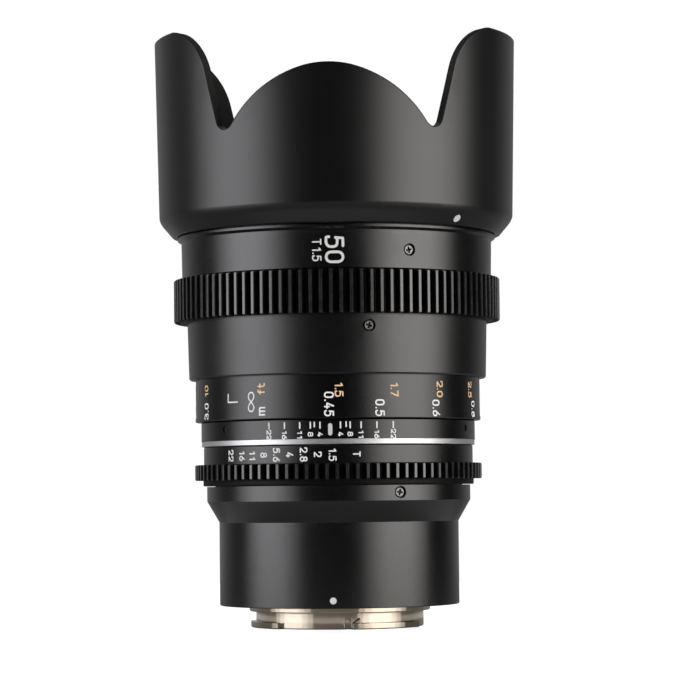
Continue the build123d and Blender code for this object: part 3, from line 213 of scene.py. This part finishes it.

# Rear barrel screws, front barrel screws and focus sleeve screws: small cross recessed heads that
# sit in counterbores. Steel, ground grey on the face, with painted shade in the drive recess.
screw_steel = Finish("screw_steel")
screw_grind = screw_steel.cloud(0.5, 4.0)
screw_dirt = screw_steel.between(screw_steel.cloud(1.1, 5.0, 2.0), 0.45, 0.8)
screw_face = screw_steel.tint((0.30, 0.295, 0.285), (0.15, 0.145, 0.14), screw_dirt)
# Painted shade: the drive recess and tight corners are painted near black from ambient occlusion.
screw_unshaded = screw_steel.between(screw_steel.crevice(0.8), 0.66, 0.9)
screw_steel.feed("Base Color", screw_steel.tint(screw_face, (0.004, 0.004, 0.004), 1 - screw_unshaded))
screw_steel.feed("Metallic", 1.0)
screw_steel.feed("Roughness", 0.40 + 0.16 * screw_grind)
screw_steel.relief(screw_grind, 0.01, 0.4, 0.08)
screw_steel.wear("rear_barrel_screws", "focus_sleeve_screws", "front_barrel_screws", "mount_screws")

# Mount index bead: a drop of white filler that is set into a drilled dot and rubbed flush.
# Slightly chalky, with fine pits.
white_bead = Finish("white_bead")
chalk = white_bead.cloud(0.3, 3.0)
white_bead.feed("Base Color", white_bead.tint((0.95, 0.95, 0.94), (0.84, 0.84, 0.82), chalk))
white_bead.feed("Roughness", 0.42 + 0.15 * chalk)
white_bead.relief(chalk, 0.008, 0.3)
white_bead.wear("mount_index_dot")

# Bayonet: a turned brass mount plate with a boss and three tabs, plated in champagne coloured
# hard chrome. It is screwed up into the rear barrel and gets rubbed at its tabs by the camera.
bayonet_metal = Finish("bayonet_metal")
plating = bayonet_metal.cloud(6.0, 4.0)
turned = bayonet_metal.tool_marks(0.07, 3.0)
rubbed = bayonet_metal.between(bayonet_metal.tool_marks(0.5, 4.0), 0.52, 0.8)
plate_tint = bayonet_metal.tint((0.93, 0.82, 0.67), (0.86, 0.74, 0.59), plating)
polished = bayonet_metal.tint(plate_tint, (0.97, 0.92, 0.84), rubbed * 0.5)
# Painted shade: slots and corners are painted dark brown from ambient occlusion.
crevice_shade = 1 - bayonet_metal.between(bayonet_metal.crevice(0.9), 0.35, 0.75)
bayonet_metal.feed("Base Color", bayonet_metal.tint(polished, (0.12, 0.09, 0.06), crevice_shade * 0.85))
bayonet_metal.feed("Metallic", 1.0)
bayonet_metal.feed("Roughness", 0.03 + 0.03 * plating + 0.04 * rubbed)
bayonet_metal.relief(turned, 0.004, 0.15, 0.2)
bayonet_metal.wear("mount_bayonet")

# Rear baffle, guide barrel, focus cam barrel, cells, spacers and iris frame: the parts inside.
# Turned aluminium in dull black anodising, which leaves the tool marks showing.
inner_black = anodised("inner_black", (0.012, 0.012, 0.012), 0.62, (), grain=0.25, marks=0.30)
inner_black.wear(
    "rear_baffle",
    "guide_barrel",
    "focus_cam_barrel",
    "lens_barrel",
    "front_cell",
    "front_spacer",
    "rear_cell",
    "spacer_5_6",
    "spacer_7_8",
    "spacer_8_9",
    "rear_retainer",
    "iris_housing",
    "iris_cover",
    "iris_cam_ring",
)

# Cam followers and the aperture drive pin: ground steel screws, with a thin film of oil.
pin_steel = Finish("pin_steel")
ground = pin_steel.cloud(0.2, 3.0)
pin_steel.feed("Base Color", pin_steel.tint((0.46, 0.46, 0.47), (0.36, 0.36, 0.36), ground))
pin_steel.feed("Metallic", 1.0)
pin_steel.feed("Roughness", 0.22 + 0.12 * ground)
pin_steel.relief(ground, 0.004, 0.3)
pin_steel.wear("aperture_drive_pin", "cam_followers")

# Follower rollers: little turned brass sleeves that run in the slots.
roller_brass = Finish("roller_brass")
brass_tarnish = roller_brass.cloud(0.8, 4.0)
brass_tint = roller_brass.tint((0.70, 0.50, 0.20), (0.42, 0.28, 0.10), brass_tarnish)
roller_brass.feed("Base Color", brass_tint)
roller_brass.feed("Metallic", 1.0)
roller_brass.feed("Roughness", 0.24 + 0.16 * brass_tarnish)
roller_brass.relief(brass_tarnish, 0.004, 0.3)
roller_brass.wear("follower_rollers")

# Iris blades: eight leaves of blackened spring steel, with a polish mark where they rub.
blade_steel = Finish("blade_steel")
blued = blade_steel.cloud(3.0, 4.0)
stroked = blade_steel.tool_marks(0.12, 3.0)
blade_steel.feed("Base Color", blade_steel.tint((0.030, 0.031, 0.036), (0.065, 0.065, 0.07), stroked))
blade_steel.feed("Metallic", 0.8)
blade_steel.feed("Roughness", 0.32 + 0.12 * blued)
blade_steel.relief(stroked, 0.003, 0.3)
blade_steel.wear(*(f"iris_blade_{number}" for number in range(1, 9)))

# Glass: nine polished elements with a faint violet and green bloom coat, clear at the centre
# and with a trace of dust on the front one.
optical_glass = Finish("optical_glass")
dust = optical_glass.between(optical_glass.cloud(0.9, 6.0), 0.62, 0.85)
optical_glass.feed("Base Color", optical_glass.tint((0.985, 0.992, 0.985), (0.94, 0.95, 0.93), dust))
optical_glass.feed("Roughness", 0.01 + 0.05 * dust)
optical_glass.feed("Transmission Weight", 1.0)
optical_glass.feed("IOR", 1.6)
optical_glass.feed("Thin Film Thickness", 240.0)
optical_glass.feed("Thin Film IOR", 1.38)
optical_glass.relief(dust, 0.002, 0.1)
optical_glass.wear(*(f"lens_{number}" for number in range(1, 10)))

# Aperture ring: a lower band under its gear and the T-stop scale band above. Turned aluminium,
# satin black anodised, with the numbers cut by an engraving machine and filled with white paint.
scale_black = anodised("scale_black", (0.0008, 0.0008, 0.0009), 0.25, (42.0, 40.6, 36.1))
scale_black.feed("IOR", 1.68)
scale_black.wear("aperture_ring", "distance_scale_ring", "index_ring")

white_fill = Finish("white_fill")
paint_grain = white_fill.cloud(0.15, 3.0)
paint_wear = white_fill.between(white_fill.cloud(1.2, 5.0, 5.0), 0.55, 0.85)
white_fill.feed("Base Color", white_fill.tint((0.90, 0.90, 0.89), (0.76, 0.76, 0.74), paint_wear))
white_fill.feed("Roughness", 0.48 + 0.12 * paint_grain)
white_fill.relief(paint_grain, 0.004, 0.3)

# Each numeral is one or more strokes of a round cutter, in a box that is 1 wide and 1 high.
# A stroke is a list of (x, y, how round the corner is), and a loop ends where it began.
cutter_paths = {
    "0": [("loop", (0, 0, 1), (1, 0, 1), (1, 1, 1), (0, 1, 1))],
    "1": [("line", (0.30, 0.78, 0), (0.72, 1, 0), (0.72, 0, 0))],
    "2": [("line", (0, 0.72, 0), (0, 1, 1), (1, 1, 1), (1, 0.56, 0.6), (0, 0, 0), (1, 0, 0))],
    "3": [
        ("line", (0, 0.8, 0), (0, 1, 1), (0.95, 1, 1), (0.95, 0.54, 1), (0.4, 0.54, 0)),
        ("line", (0.4, 0.54, 0), (1, 0.54, 1), (1, 0, 1), (0, 0, 1), (0, 0.2, 0)),
    ],
    "4": [
        ("line", (0.6, 1, 0), (0, 0.26, 0), (1.05, 0.26, 0)),
        ("line", (0.74, 0.52, 0), (0.74, 0, 0)),
    ],
    "5": [
        ("line", (0.92, 1, 0), (0.14, 1, 0), (0.08, 0.56, 0)),
        ("line", (0.08, 0.56, 0), (0.2, 0.66, 0.6), (1, 0.66, 1), (1, 0, 1), (0, 0, 1), (0, 0.17, 0)),
    ],
    "6": [
        ("loop", (0, 0, 1), (1, 0, 1), (1, 0.6, 1), (0, 0.6, 1)),
        ("line", (0.74, 1, 0), (0.03, 0.42, 0.5), (0, 0.3, 0)),
    ],
    "7": [("line", (0, 1, 0), (1, 1, 0), (0.34, 0, 0))],
    "8": [
        ("loop", (0, 0, 1), (1, 0, 1), (1, 0.54, 1), (0, 0.54, 1)),
        ("loop", (0.07, 0.54, 1), (0.93, 0.54, 1), (0.93, 1, 1), (0.07, 1, 1)),
    ],
    ".": [("line", (0, 0.02, 0), (0, 0.05, 0))],
    "T": [("line", (0, 1, 0), (1, 1, 0)), ("line", (0.5, 1, 0), (0.5, 0, 0))],
    "m": [
        ("line", (0, 0, 0), (0, 0.72, 0)),
        ("line", (0, 0.5, 0), (0, 0.72, 1), (0.75, 0.72, 1), (0.75, 0, 0)),
        ("line", (0.75, 0.5, 0), (0.75, 0.72, 1), (1.5, 0.72, 1), (1.5, 0, 0)),
    ],
    "f": [("line", (0.75, 1, 0), (0.3, 1, 1), (0.3, 0, 0)), ("line", (0, 0.68, 0), (0.7, 0.68, 0))],
    "t": [("line", (0.25, 1, 0), (0.25, 0, 1), (0.75, 0, 0)), ("line", (0, 0.7, 0), (0.7, 0.7, 0))],
}
sign_widths = {".": 0.0, "m": 1.5, "f": 0.75, "t": 0.75, "1": 0.8}
corner_steps, corner_ease, longest_step = 8, 0.18, 0.4
paint_proud, paint_layer, paint_sunk = 0.028, 0.004, -0.03


def rounded(kind, corners, across, tall):
    """The points of a cutter path in millimetres, with its corners rounded."""
    spots = [(Vector((x * across, y * tall)), turn) for x, y, turn in corners]
    count = len(spots)
    points = []
    for place, (spot, turn) in enumerate(spots):
        ends = kind == "line" and place in (0, count - 1)
        if ends or not turn:
            points.append(spot)
            continue
        before = spots[place - 1][0] - spot
        after = spots[(place + 1) % count][0] - spot
        reach = turn * min(before.length / 2, after.length / 2, across / 2)
        start = spot + before.normalized() * reach
        stop = spot + after.normalized() * reach
        for step in range(corner_steps + 1):
            share = step / corner_steps
            pull = spot.lerp((start + stop) / 2, corner_ease)
            points.append(
                start * (1 - share) ** 2 + pull * 2 * share * (1 - share) + stop * share**2
            )
    if kind == "loop":
        points.append(points[0])
    filled = [points[0]]
    for point in points[1:]:
        gap = point - filled[-1]
        steps = max(1, math.ceil(gap.length / longest_step))
        start = filled[-1]
        filled.extend(start + gap * (step / steps) for step in range(1, steps + 1))
    return filled


def cut_stroke(mesh, points, width, wrap):
    """Add one filled groove: a thin closed strip along points, wrapped by wrap(u, v, lift)."""
    looped = (points[0] - points[-1]).length < 1e-6
    sides = []
    for place, point in enumerate(points):
        ahead = points[min(place + 1, len(points) - 1)]
        behind = points[max(place - 1, 0)]
        if looped and place in (0, len(points) - 1):
            ahead, behind = points[1], points[-2]
        way = (ahead - behind).normalized()
        across = Vector((-way.y, way.x)) * width / 2
        sides.append((point + across, point - across))
    if not looped:
        ends = []
        for tip, start in ((points[-1], sides[-1][0]), (points[0], sides[0][1])):
            arm = start - tip
            turns = [arm.copy() for _ in range(5)]
            for step, spoke in enumerate(turns):
                spoke.rotate(Matrix.Rotation(-math.pi * (step + 1) / 6, 2))
            ends.append([tip + spoke for spoke in turns])
        for tip, side, cap in ((points[-1], sides[-1], ends[0]), (points[0], sides[0][::-1], ends[1])):
            fan = [side[0], *cap, side[1]]
            layers = [[mesh.verts.new(wrap(p.x, p.y, lift)) for p in fan] for lift in (0, 1)]
            mesh.faces.new(layers[1])
            mesh.faces.new(layers[0][::-1])
            for one, two in zip(range(len(fan)), range(1, len(fan))):
                mesh.faces.new((layers[0][one], layers[0][two], layers[1][two], layers[1][one]))
    rows = [[mesh.verts.new(wrap(p.x, p.y, lift)) for p in pair for lift in (0, 1)] for pair in sides]
    for near, far in zip(rows, rows[1:]):
        mesh.faces.new((near[1], far[1], far[3], near[3]))
        mesh.faces.new((near[0], near[2], far[2], far[0]))
        mesh.faces.new((near[0], far[0], far[1], near[1]))
        mesh.faces.new((near[2], near[3], far[3], far[2]))


def on_ring(azimuth, height, skin, layer, reads):
    """Wrap a flat sign onto a ring, where it reads down the lens, up it or level round it.

    skin gives the ring's radius at a height.
    """

    def wrap(u, v, lift):
        along, up = {"down": (v, -u), "up": (-v, u), "level": (u, v)}[reads]
        shell = skin(height + up) + (paint_proud + paint_layer * layer if lift else paint_sunk)
        angle = math.radians(azimuth) + along / skin(height)
        return (
            shell * math.sin(angle) / 1000,
            -shell * math.cos(angle) / 1000,
            (height + up) / 1000,
        )

    return wrap


def engrave(name, body, skin, signs, cutter, finish):
    """Cut a group of signs into a ring, and the same signs for an operator on its other side.

    A sign is (text, azimuth, height, cap height, digit width). The first set reads down the lens
    and the opposite one up it.
    """
    mesh = bmesh.new()
    both_sides = [(*sign, "down") for sign in signs]
    both_sides += [(text, azimuth + 180, *rest, "up") for text, azimuth, *rest in signs]
    for text, azimuth, height, cap, wide, reads in both_sides:
        across, tall = wide - cutter, cap - cutter
        gap = 0.13 * cap
        widths = [sign_widths.get(sign, 1.0) * across + cutter for sign in text]
        length = sum(widths) + gap * (len(text) - 1)
        start = -length / 2 + cutter / 2
        layer = 0
        for sign, width in zip(text, widths):
            for kind, *corners in cutter_paths[sign]:
                path = rounded(kind, corners, across, tall)
                moved = [Vector((p.x + start, p.y - tall / 2)) for p in path]
                cut_stroke(mesh, moved, cutter, on_ring(azimuth, height, skin, layer, reads))
                layer += 1
            start += width + gap
    engraving(name, body, mesh, finish)


def engraving(name, body, mesh, finish):
    """Make the paint in a group of grooves one piece that turns with its ring."""
    bmesh.ops.recalc_face_normals(mesh, faces=mesh.faces)
    data = bpy.data.meshes.new(name)
    mesh.to_mesh(data)
    mesh.free()
    piece = bpy.data.objects.new(name, data)
    bpy.context.scene.collection.objects.link(piece)
    finish.wear(piece)
    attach(piece, body)


t_scale_r, t_scale_height = 34.88, 38.45


def t_scale_skin(height):
    """The T-stop band is a plain cylinder."""
    return t_scale_r


t_stops = (
    ("22", -47.76),
    ("16", -40.77),
    ("11", -34.93),
    ("8", -29.13),
    ("5.6", -23.09),
    ("4", -17.21),
    ("2.8", -11.16),
    ("2", -5.25),
    ("1.5", 0.81),
    ("T", 10.64),
)
engrave(
    "t_stop_numbers",
    "aperture_ring",
    t_scale_skin,
    [(text, azimuth, t_scale_height, 2.0, 1.36) for text, azimuth in t_stops],
    0.34,
    white_fill,
)

# Gear rings: the follow-focus teeth on the aperture ring and on the focus ring, hobbed at 0.8
# module and anodised black. The drive gears have polished the lands of the teeth, 42.4 mm and
# 37.2 mm from the axis, which carry a glossy coat and are painted paler, partly as rubbing and partly
# as a painted highlight.
focus_tip_r, aperture_tip_r, between_gears = 42.4, 37.2, 50.0
gear_black = Finish("gear_black")
tooth_grain = gear_black.cloud(0.2, 3.0)
rub_and_highlight_breaks = gear_black.between(gear_black.cloud(2.5, 4.0, 4.0), 0.3, 0.7)
reach_out = gear_black.radius()
on_aperture_gear = 1 - gear_black.between(gear_black.z, between_gears, between_gears + 2.0)
tip_of_focus = gear_black.between(reach_out, focus_tip_r - 0.5, focus_tip_r)
tip_of_aperture = gear_black.between(reach_out, aperture_tip_r - 0.4, aperture_tip_r) * on_aperture_gear
tip_land = tip_of_focus + tip_of_aperture
# The paler lands are partly rubbing wear and partly a painted highlight on the tooth tips.
gear_tint = gear_black.tint((0.0012, 0.0012, 0.0013), (0.016, 0.016, 0.016), tip_land * rub_and_highlight_breaks)
gear_black.feed("Base Color", gear_tint)
gear_black.feed("Roughness", 0.45 + 0.1 * tooth_grain)
gear_black.feed("IOR", 1.3)
gear_black.feed("Coat Weight", tip_land)
gear_black.feed("Coat Roughness", 0.2)
gear_black.feed("Coat IOR", 1.85)
gear_black.relief(tooth_grain, 0.004, 0.3, 0.42)
gear_black.wear("aperture_gear", "focus_gear")

# Trim ring: a narrow bright ring between the aperture ring and the index ring. Turned aluminium,
# clear anodised, so the tool marks glitter round it.
bright_ring = Finish("bright_ring")
ring_marks = bright_ring.tool_marks(0.05, 3.0)
ring_haze = bright_ring.cloud(4.0, 3.0)
bright_ring.feed("Base Color", bright_ring.tint((0.90, 0.90, 0.92), (0.82, 0.82, 0.83), ring_haze))
bright_ring.feed("Metallic", 1.0)
bright_ring.feed("Roughness", 0.42 + 0.08 * ring_haze)
bright_ring.relief(ring_marks, 0.006, 0.5)
bright_ring.wear("trim_ring")

# Index ring: fixed under the distance scale. It carries the focus index line and the depth of
# field lines with their numbers, on both sides of the lens, and three dark set screws hold it.
index_r, index_number_height = 35.5, 43.42


def index_skin(height):
    """The index ring is a plain cylinder."""
    return index_r


depth_lines = (4.1, 8.0, 12.4, 18.9, 25.9)
depth_numbers = ("4", "8", "11", "16", "22")
index_numbers = [
    (text, side * azimuth, index_number_height, 1.38, 1.16)
    for text, azimuth in zip(depth_numbers, depth_lines)
    for side in (-1, 1)
]
engrave(
    "depth_of_field_numbers", "lens_body", index_skin, index_numbers, 0.27, white_fill
)


def rule(mesh, azimuth, skin, low_end, high_end, width):
    """Add one straight groove along the lens axis."""
    ends = [Vector((0, low_end)), Vector((0, (low_end + high_end) / 2)), Vector((0, high_end))]
    cut_stroke(mesh, ends, width, on_ring(azimuth, 0, skin, 0, "level"))


line_bottom, line_top, line_width, index_width = 44.95, 46.4, 0.36, 1.05
short_line_azimuth, short_line_bottom = 6.4, 45.3
depth_rules = bmesh.new()
focus_rules = bmesh.new()
for turn in (0, 180):
    for side in (-1, 1):
        for azimuth in depth_lines:
            rule(depth_rules, side * azimuth + turn, index_skin, line_bottom, line_top, line_width)
        beside = side * short_line_azimuth + turn
        rule(depth_rules, beside, index_skin, short_line_bottom, line_top, line_width)
    rule(focus_rules, turn, index_skin, 43.6, 45.6, index_width)
engraving("depth_of_field_lines", "lens_body", depth_rules, white_fill)

grey_fill = Finish("grey_fill")
putty = grey_fill.cloud(0.2, 4.0)
grey_fill.feed("Base Color", grey_fill.tint((0.72, 0.72, 0.71), (0.62, 0.62, 0.60), putty))
grey_fill.feed("Roughness", 0.45 + 0.12 * putty)
grey_fill.relief(putty, 0.004, 0.3)
engraving("focus_index_lines", "lens_body", focus_rules, grey_fill)

dark_screw = Finish("dark_screw")
oxide = dark_screw.cloud(0.4, 4.0)
dark_screw.feed("Base Color", dark_screw.tint((0.10, 0.10, 0.10), (0.22, 0.21, 0.20), oxide))
dark_screw.feed("Metallic", 0.9)
dark_screw.feed("Roughness", 0.35 + 0.15 * oxide)
dark_screw.relief(oxide, 0.01, 0.3)
dark_screw.wear("index_ring_screws")

# Distance scale ring: metres in white next to the index ring, feet in orange above them, twice
# round the ring. A square corner marks where infinity starts.
distance_r, distance_lip_r, distance_lip_top = 36.88, 37.0, 48.4


def distance_skin(height):
    """The distance ring stands a little prouder along its bottom lip."""
    return distance_lip_r if height < distance_lip_top else distance_r


metres = (
    ("0.45", -0.25, 50.83),
    ("0.5", 19.58, 49.85),
    ("0.6", 44.94, 49.85),
    ("0.8", 72.6, 49.92),
    ("1.2", 93.6, 49.9),
    ("3.0", 118.2, 49.88),
    ("m", 151.9, 49.35),
)
feet = (
    ("1.5", 3.65, 54.51),
    ("1.7", 25.63, 54.47),
    ("2.0", 47.09, 54.63),
    ("2.5", 69.12, 54.8),
    ("4.0", 94.3, 54.8),
    ("10", 118.3, 54.9),
    ("ft", 152.0, 54.95),
)
engrave(
    "metre_numbers",
    "focus_ring",
    distance_skin,
    [(text, azimuth, height, 2.5, 1.58) for text, azimuth, height in metres],
    0.40,
    white_fill,
)

orange_fill = Finish("orange_fill")
orange_grain = orange_fill.cloud(0.15, 3.0)
orange_wear = orange_fill.between(orange_fill.cloud(1.2, 5.0, 5.0), 0.55, 0.85)
orange_tint = orange_fill.tint((0.90, 0.60, 0.33), (0.78, 0.48, 0.24), orange_wear)
orange_fill.feed("Base Color", orange_tint)
orange_fill.feed("Roughness", 0.48 + 0.12 * orange_grain)
orange_fill.relief(orange_grain, 0.004, 0.3)
engrave(
    "foot_numbers",
    "focus_ring",
    distance_skin,
    [(text, azimuth, height, 2.2, 1.58) for text, azimuth, height in feet],
    0.36,
    orange_fill,
)

infinity_azimuth, infinity_height, infinity_reach, infinity_cutter = 147.2, 51.73, 2.4, 0.34
corner_azimuth, corner_height, corner_upright, corner_arm = 134.8, 51.85, 2.0, 3.4
infinity_marks = bmesh.new()
for turn in (0, 180):
    loop = []
    for step in range(49):
        swing = 2 * math.pi * step / 48
        along = infinity_reach * math.cos(swing) / (1 + math.sin(swing) ** 2)
        loop.append(Vector((along, along * math.sin(swing))))
    eight = on_ring(infinity_azimuth + turn, infinity_height, distance_skin, 0, "down")
    cut_stroke(infinity_marks, loop, infinity_cutter, eight)
    corner = [Vector((0, corner_upright)), Vector((0, 0)), Vector((corner_arm, 0))]
    elbow = on_ring(corner_azimuth + turn, corner_height, distance_skin, 0, "level")
    for first, second in zip(corner, corner[1:]):
        stretch = [first.lerp(second, step / 6) for step in range(7)]
        cut_stroke(infinity_marks, stretch, infinity_cutter, elbow)
engraving("infinity_marks", "focus_ring", infinity_marks, white_fill)

# Focus sleeve: the plain grip of the focus ring between its scale and its gear. Turned aluminium,
# blasted to a fine even grain and anodised black.
sleeve_black = anodised("sleeve_black", (0.0010, 0.0010, 0.0011), 0.30, (57.5, 72.6), grain=0.18)
sleeve_black.wear("focus_sleeve")

# Front barrel: carries the focal length and the widest T-stop in white, and screws to the guide
# barrel. Its lip and the filter thread's rim are painted paler in thin lines, partly edge wear and
# partly painted highlight.
front_black = anodised("front_black", (0.0008, 0.0008, 0.0009), 0.25, (83.6, 93.3, 94.5, 100.4))
front_black.wear("front_barrel")

front_r, front_flare, front_low, front_rise = 40.2, 0.16, 84.45, 9.45


def front_skin(height):
    """The front barrel widens a little towards its lip."""
    return front_r + front_flare * (height - front_low) / front_rise


focal_length = [("50", 2.51, 88.9, 4.85, 3.12)]
engrave("focal_length_figures", "lens_body", front_skin, focal_length, 0.67, grey_fill)
widest_stop = [("T1.5", -3.75, 88.78, 2.36, 1.5)]
engrave("widest_stop_figures", "lens_body", front_skin, widest_stop, 0.35, grey_fill)

# Front bezel and front retainer: stepped dull black rings round the front element, which keep
# stray light off the glass. The steps show as fine rings.
front_trim_black = anodised("front_trim_black", (0.008, 0.008, 0.008), 0.50, (), grain=0.2, marks=0.4)
front_trim_black.wear("front_bezel", "front_retainer")

# Hood: a moulded petal hood, satin outside and flocked dull black inside, with its bayonet ring
# screwed in behind. The rounding of its edges catches a thin line of light, and its index dot is
# a drop of the same greyish paint as the focal length.
hood_black = Finish("hood_black")
facing_out = hood_black.add("ShaderNodeTexCoord", {}, {}, "Normal")
out_x = hood_black.add("ShaderNodeSeparateXYZ", {}, {0: facing_out}, 0)
out_y = hood_black.add("ShaderNodeSeparateXYZ", {}, {0: facing_out}, 1)
inward = 1 - hood_black.between(hood_black.x * out_x + hood_black.y * out_y, -4.0, 0.0)
hood_grain = hood_black.cloud(0.22, 3.0)
hood_smudges = hood_black.cloud(14.0, 4.0, 6.0)
flock = hood_black.cloud(0.35, 5.0, 9.0)
outside = hood_black.tint((0.0008, 0.0008, 0.0009), (0.0013, 0.0013, 0.0014), hood_smudges)
hood_black.feed("Base Color", hood_black.tint(outside, (0.006, 0.006, 0.006), inward))
hood_black.feed("Roughness", 0.29 + 0.05 * hood_smudges + 0.04 * (hood_grain - 0.5) + 0.50 * inward)
hood_black.feed("IOR", 1.7)
hood_black.relief(hood_grain * (1 - inward) * 0.5 + flock * inward, 0.02, 0.25, 0.6)
hood_black.wear("hood", "hood_bayonet_ring")
grey_fill.wear("hood_index_dot")

# The camera stands where the photographer's did, a little above the mount.
focal_pixels, picture_pixels = 2836.877, 679
camera_turn, camera_pitch, camera_roll = 3.1, 3.0698, -0.5721
camera_data = bpy.data.cameras.new("camera")
camera_data.sensor_width = 36.0
camera_data.lens = camera_data.sensor_width * focal_pixels / picture_pixels
camera_data.clip_start = 0.05
camera_data.clip_end = 50.0
camera = bpy.data.objects.new("camera", camera_data)
bpy.context.scene.collection.objects.link(camera)
to_part = Matrix.Rotation(math.radians(camera_turn), 4, "Z")
aim = Matrix.Rotation(math.pi / 2 + math.radians(camera_pitch), 4, "X")
aim = aim @ Matrix.Rotation(math.radians(camera_roll), 4, "Z")
camera.matrix_world = to_part @ Matrix.Translation((0.000599, -0.738009, 0.029163)) @ aim
bpy.context.scene.camera = camera

# Studio: a pale floor that fades into a white world, two tall soft boxes beside the camera, each
# of three nested layers that fade it at its sides, and two fills that only light the paint.
photo_azimuth = 3.1465
floor_radius = 0.36
floor_mesh = bpy.data.meshes.new("floor")
floor_form = bmesh.new()
bmesh.ops.create_circle(floor_form, cap_ends=True, segments=96, radius=floor_radius)
floor_form.to_mesh(floor_mesh)
floor_form.free()
floor = bpy.data.objects.new("floor", floor_mesh)
bpy.context.scene.collection.objects.link(floor)
floor.location.z = cad_box[0].z - 0.00005
floor_paper = Finish("floor_paper")
fibre = floor_paper.cloud(3.0, 4.0)
seen = floor_paper.add("ShaderNodeLightPath", {}, {}, "Is Camera Ray")
reflected = floor_paper.add("ShaderNodeLightPath", {}, {}, "Is Glossy Ray")
floor_paper.feed("Base Color", floor_paper.tint((0.47, 0.47, 0.47), (0.45, 0.45, 0.45), fibre))
floor_paper.feed("Roughness", 0.28)
away = floor_paper.between(floor_paper.radius(), 30.0, 90.0)
# Painted reflection: a ring of floor 52 to 100 mm out glows faintly and is seen only in reflections.
bright_patch = floor_paper.between(floor_paper.radius(), 52.0, 60.0)
bright_patch = bright_patch * (1 - floor_paper.between(floor_paper.radius(), 80.0, 100.0))
glow = seen * (0.86 + 0.14 * away) + reflected * 0.18 * bright_patch
floor_paper.feed("Emission Color", floor_paper.tint((0.0, 0.0, 0.0), (1.0, 1.0, 1.0), glow))
floor_paper.feed("Emission Strength", 1.0)
floor_paper.wear(floor)

world = bpy.data.worlds.new("studio")
bpy.context.scene.world = world
world.use_nodes = True


class Sky(Finish):
    """The world's shader, built in the same way."""

    def __init__(self, tree):
        self.nodes = tree.nodes
        self.links = tree.links
        self.shader = tree.nodes["Background"]


sky = Sky(world.node_tree)
ray = {}
for kind in ("Camera", "Glossy", "Transmission"):
    ray[kind] = sky.add("ShaderNodeLightPath", {}, {}, f"Is {kind} Ray")
heading = sky.add("ShaderNodeTexCoord", {}, {}, "Generated")
facing = math.radians(photo_azimuth)
toward = sky.add(
    "ShaderNodeVectorMath",
    {"operation": "DOT_PRODUCT"},
    {0: heading, 1: (math.sin(facing), -math.cos(facing), 0.0)},
    "Value",
)
rightward = sky.add(
    "ShaderNodeVectorMath",
    {"operation": "DOT_PRODUCT"},
    {0: heading, 1: (math.cos(facing), math.sin(facing), 0.0)},
    "Value",
)
behind = 1 - sky.between(toward, -1.0, -0.35)
left_side = 1 - sky.between(rightward, -0.8, 0.1)
mirrored = 0.006 + 0.28 * behind + 0.06 * left_side
strength = ray["Camera"] + ray["Glossy"] * mirrored + ray["Transmission"] * 0.6
plain = 1 - ray["Camera"] - ray["Glossy"] - ray["Transmission"]
sky.feed("Color", (1.0, 1.0, 1.0, 1.0))
sky.feed("Strength", strength + plain * 0.13)


def soft_box(name, bearing, half_spread, distance, tall, lift, radiance, colour):
    """A tall soft box that spans half_spread degrees each side of its bearing from the camera."""
    data = bpy.data.lights.new(name, "AREA")
    data.shape = "RECTANGLE"
    data.size = 2 * distance * math.tan(math.radians(half_spread))
    data.size_y = tall
    data.energy = radiance * math.pi * data.size * data.size_y
    data.color = colour
    lamp = bpy.data.objects.new(name, data)
    bpy.context.scene.collection.objects.link(lamp)
    angle = math.radians(photo_azimuth + bearing)
    lamp.location = (distance * math.sin(angle), -distance * math.cos(angle), lift)
    lamp.rotation_euler = Euler((math.pi / 2, 0, angle))
    lamp.visible_camera = False
    return lamp


box_distance, layer_gap, box_tall, box_lift = 1.0, 0.01, 0.8, 0.12
fill_distance, fill_tall, fill_lift, fill_spread, fill_radiance = 1.4, 0.9, 0.2, 30.0, 1.9
for name, bearing, spreads, radiance, colour in (
    ("left_soft_box", -67.0, (14.0, 22.0, 30.0), 0.86, (0.97, 0.97, 1.0)),
    ("right_soft_box", 57.5, (17.0, 26.0, 34.0), 1.0, (1.0, 0.975, 0.95)),
):
    for layer, half_spread in enumerate(spreads):
        distance = box_distance + layer_gap * layer
        layer_name = f"{name}_{layer}"
        soft_box(layer_name, bearing, half_spread, distance, box_tall, box_lift, radiance, colour)
for name, bearing in (("left_fill", -58.0), ("right_fill", 58.0)):
    white = (1.0, 1.0, 1.0)
    fill = soft_box(
        name, bearing, fill_spread, fill_distance, fill_tall, fill_lift, fill_radiance, white
    )
    fill.visible_glossy = False

bpy.context.scene.view_settings.view_transform = "Standard"
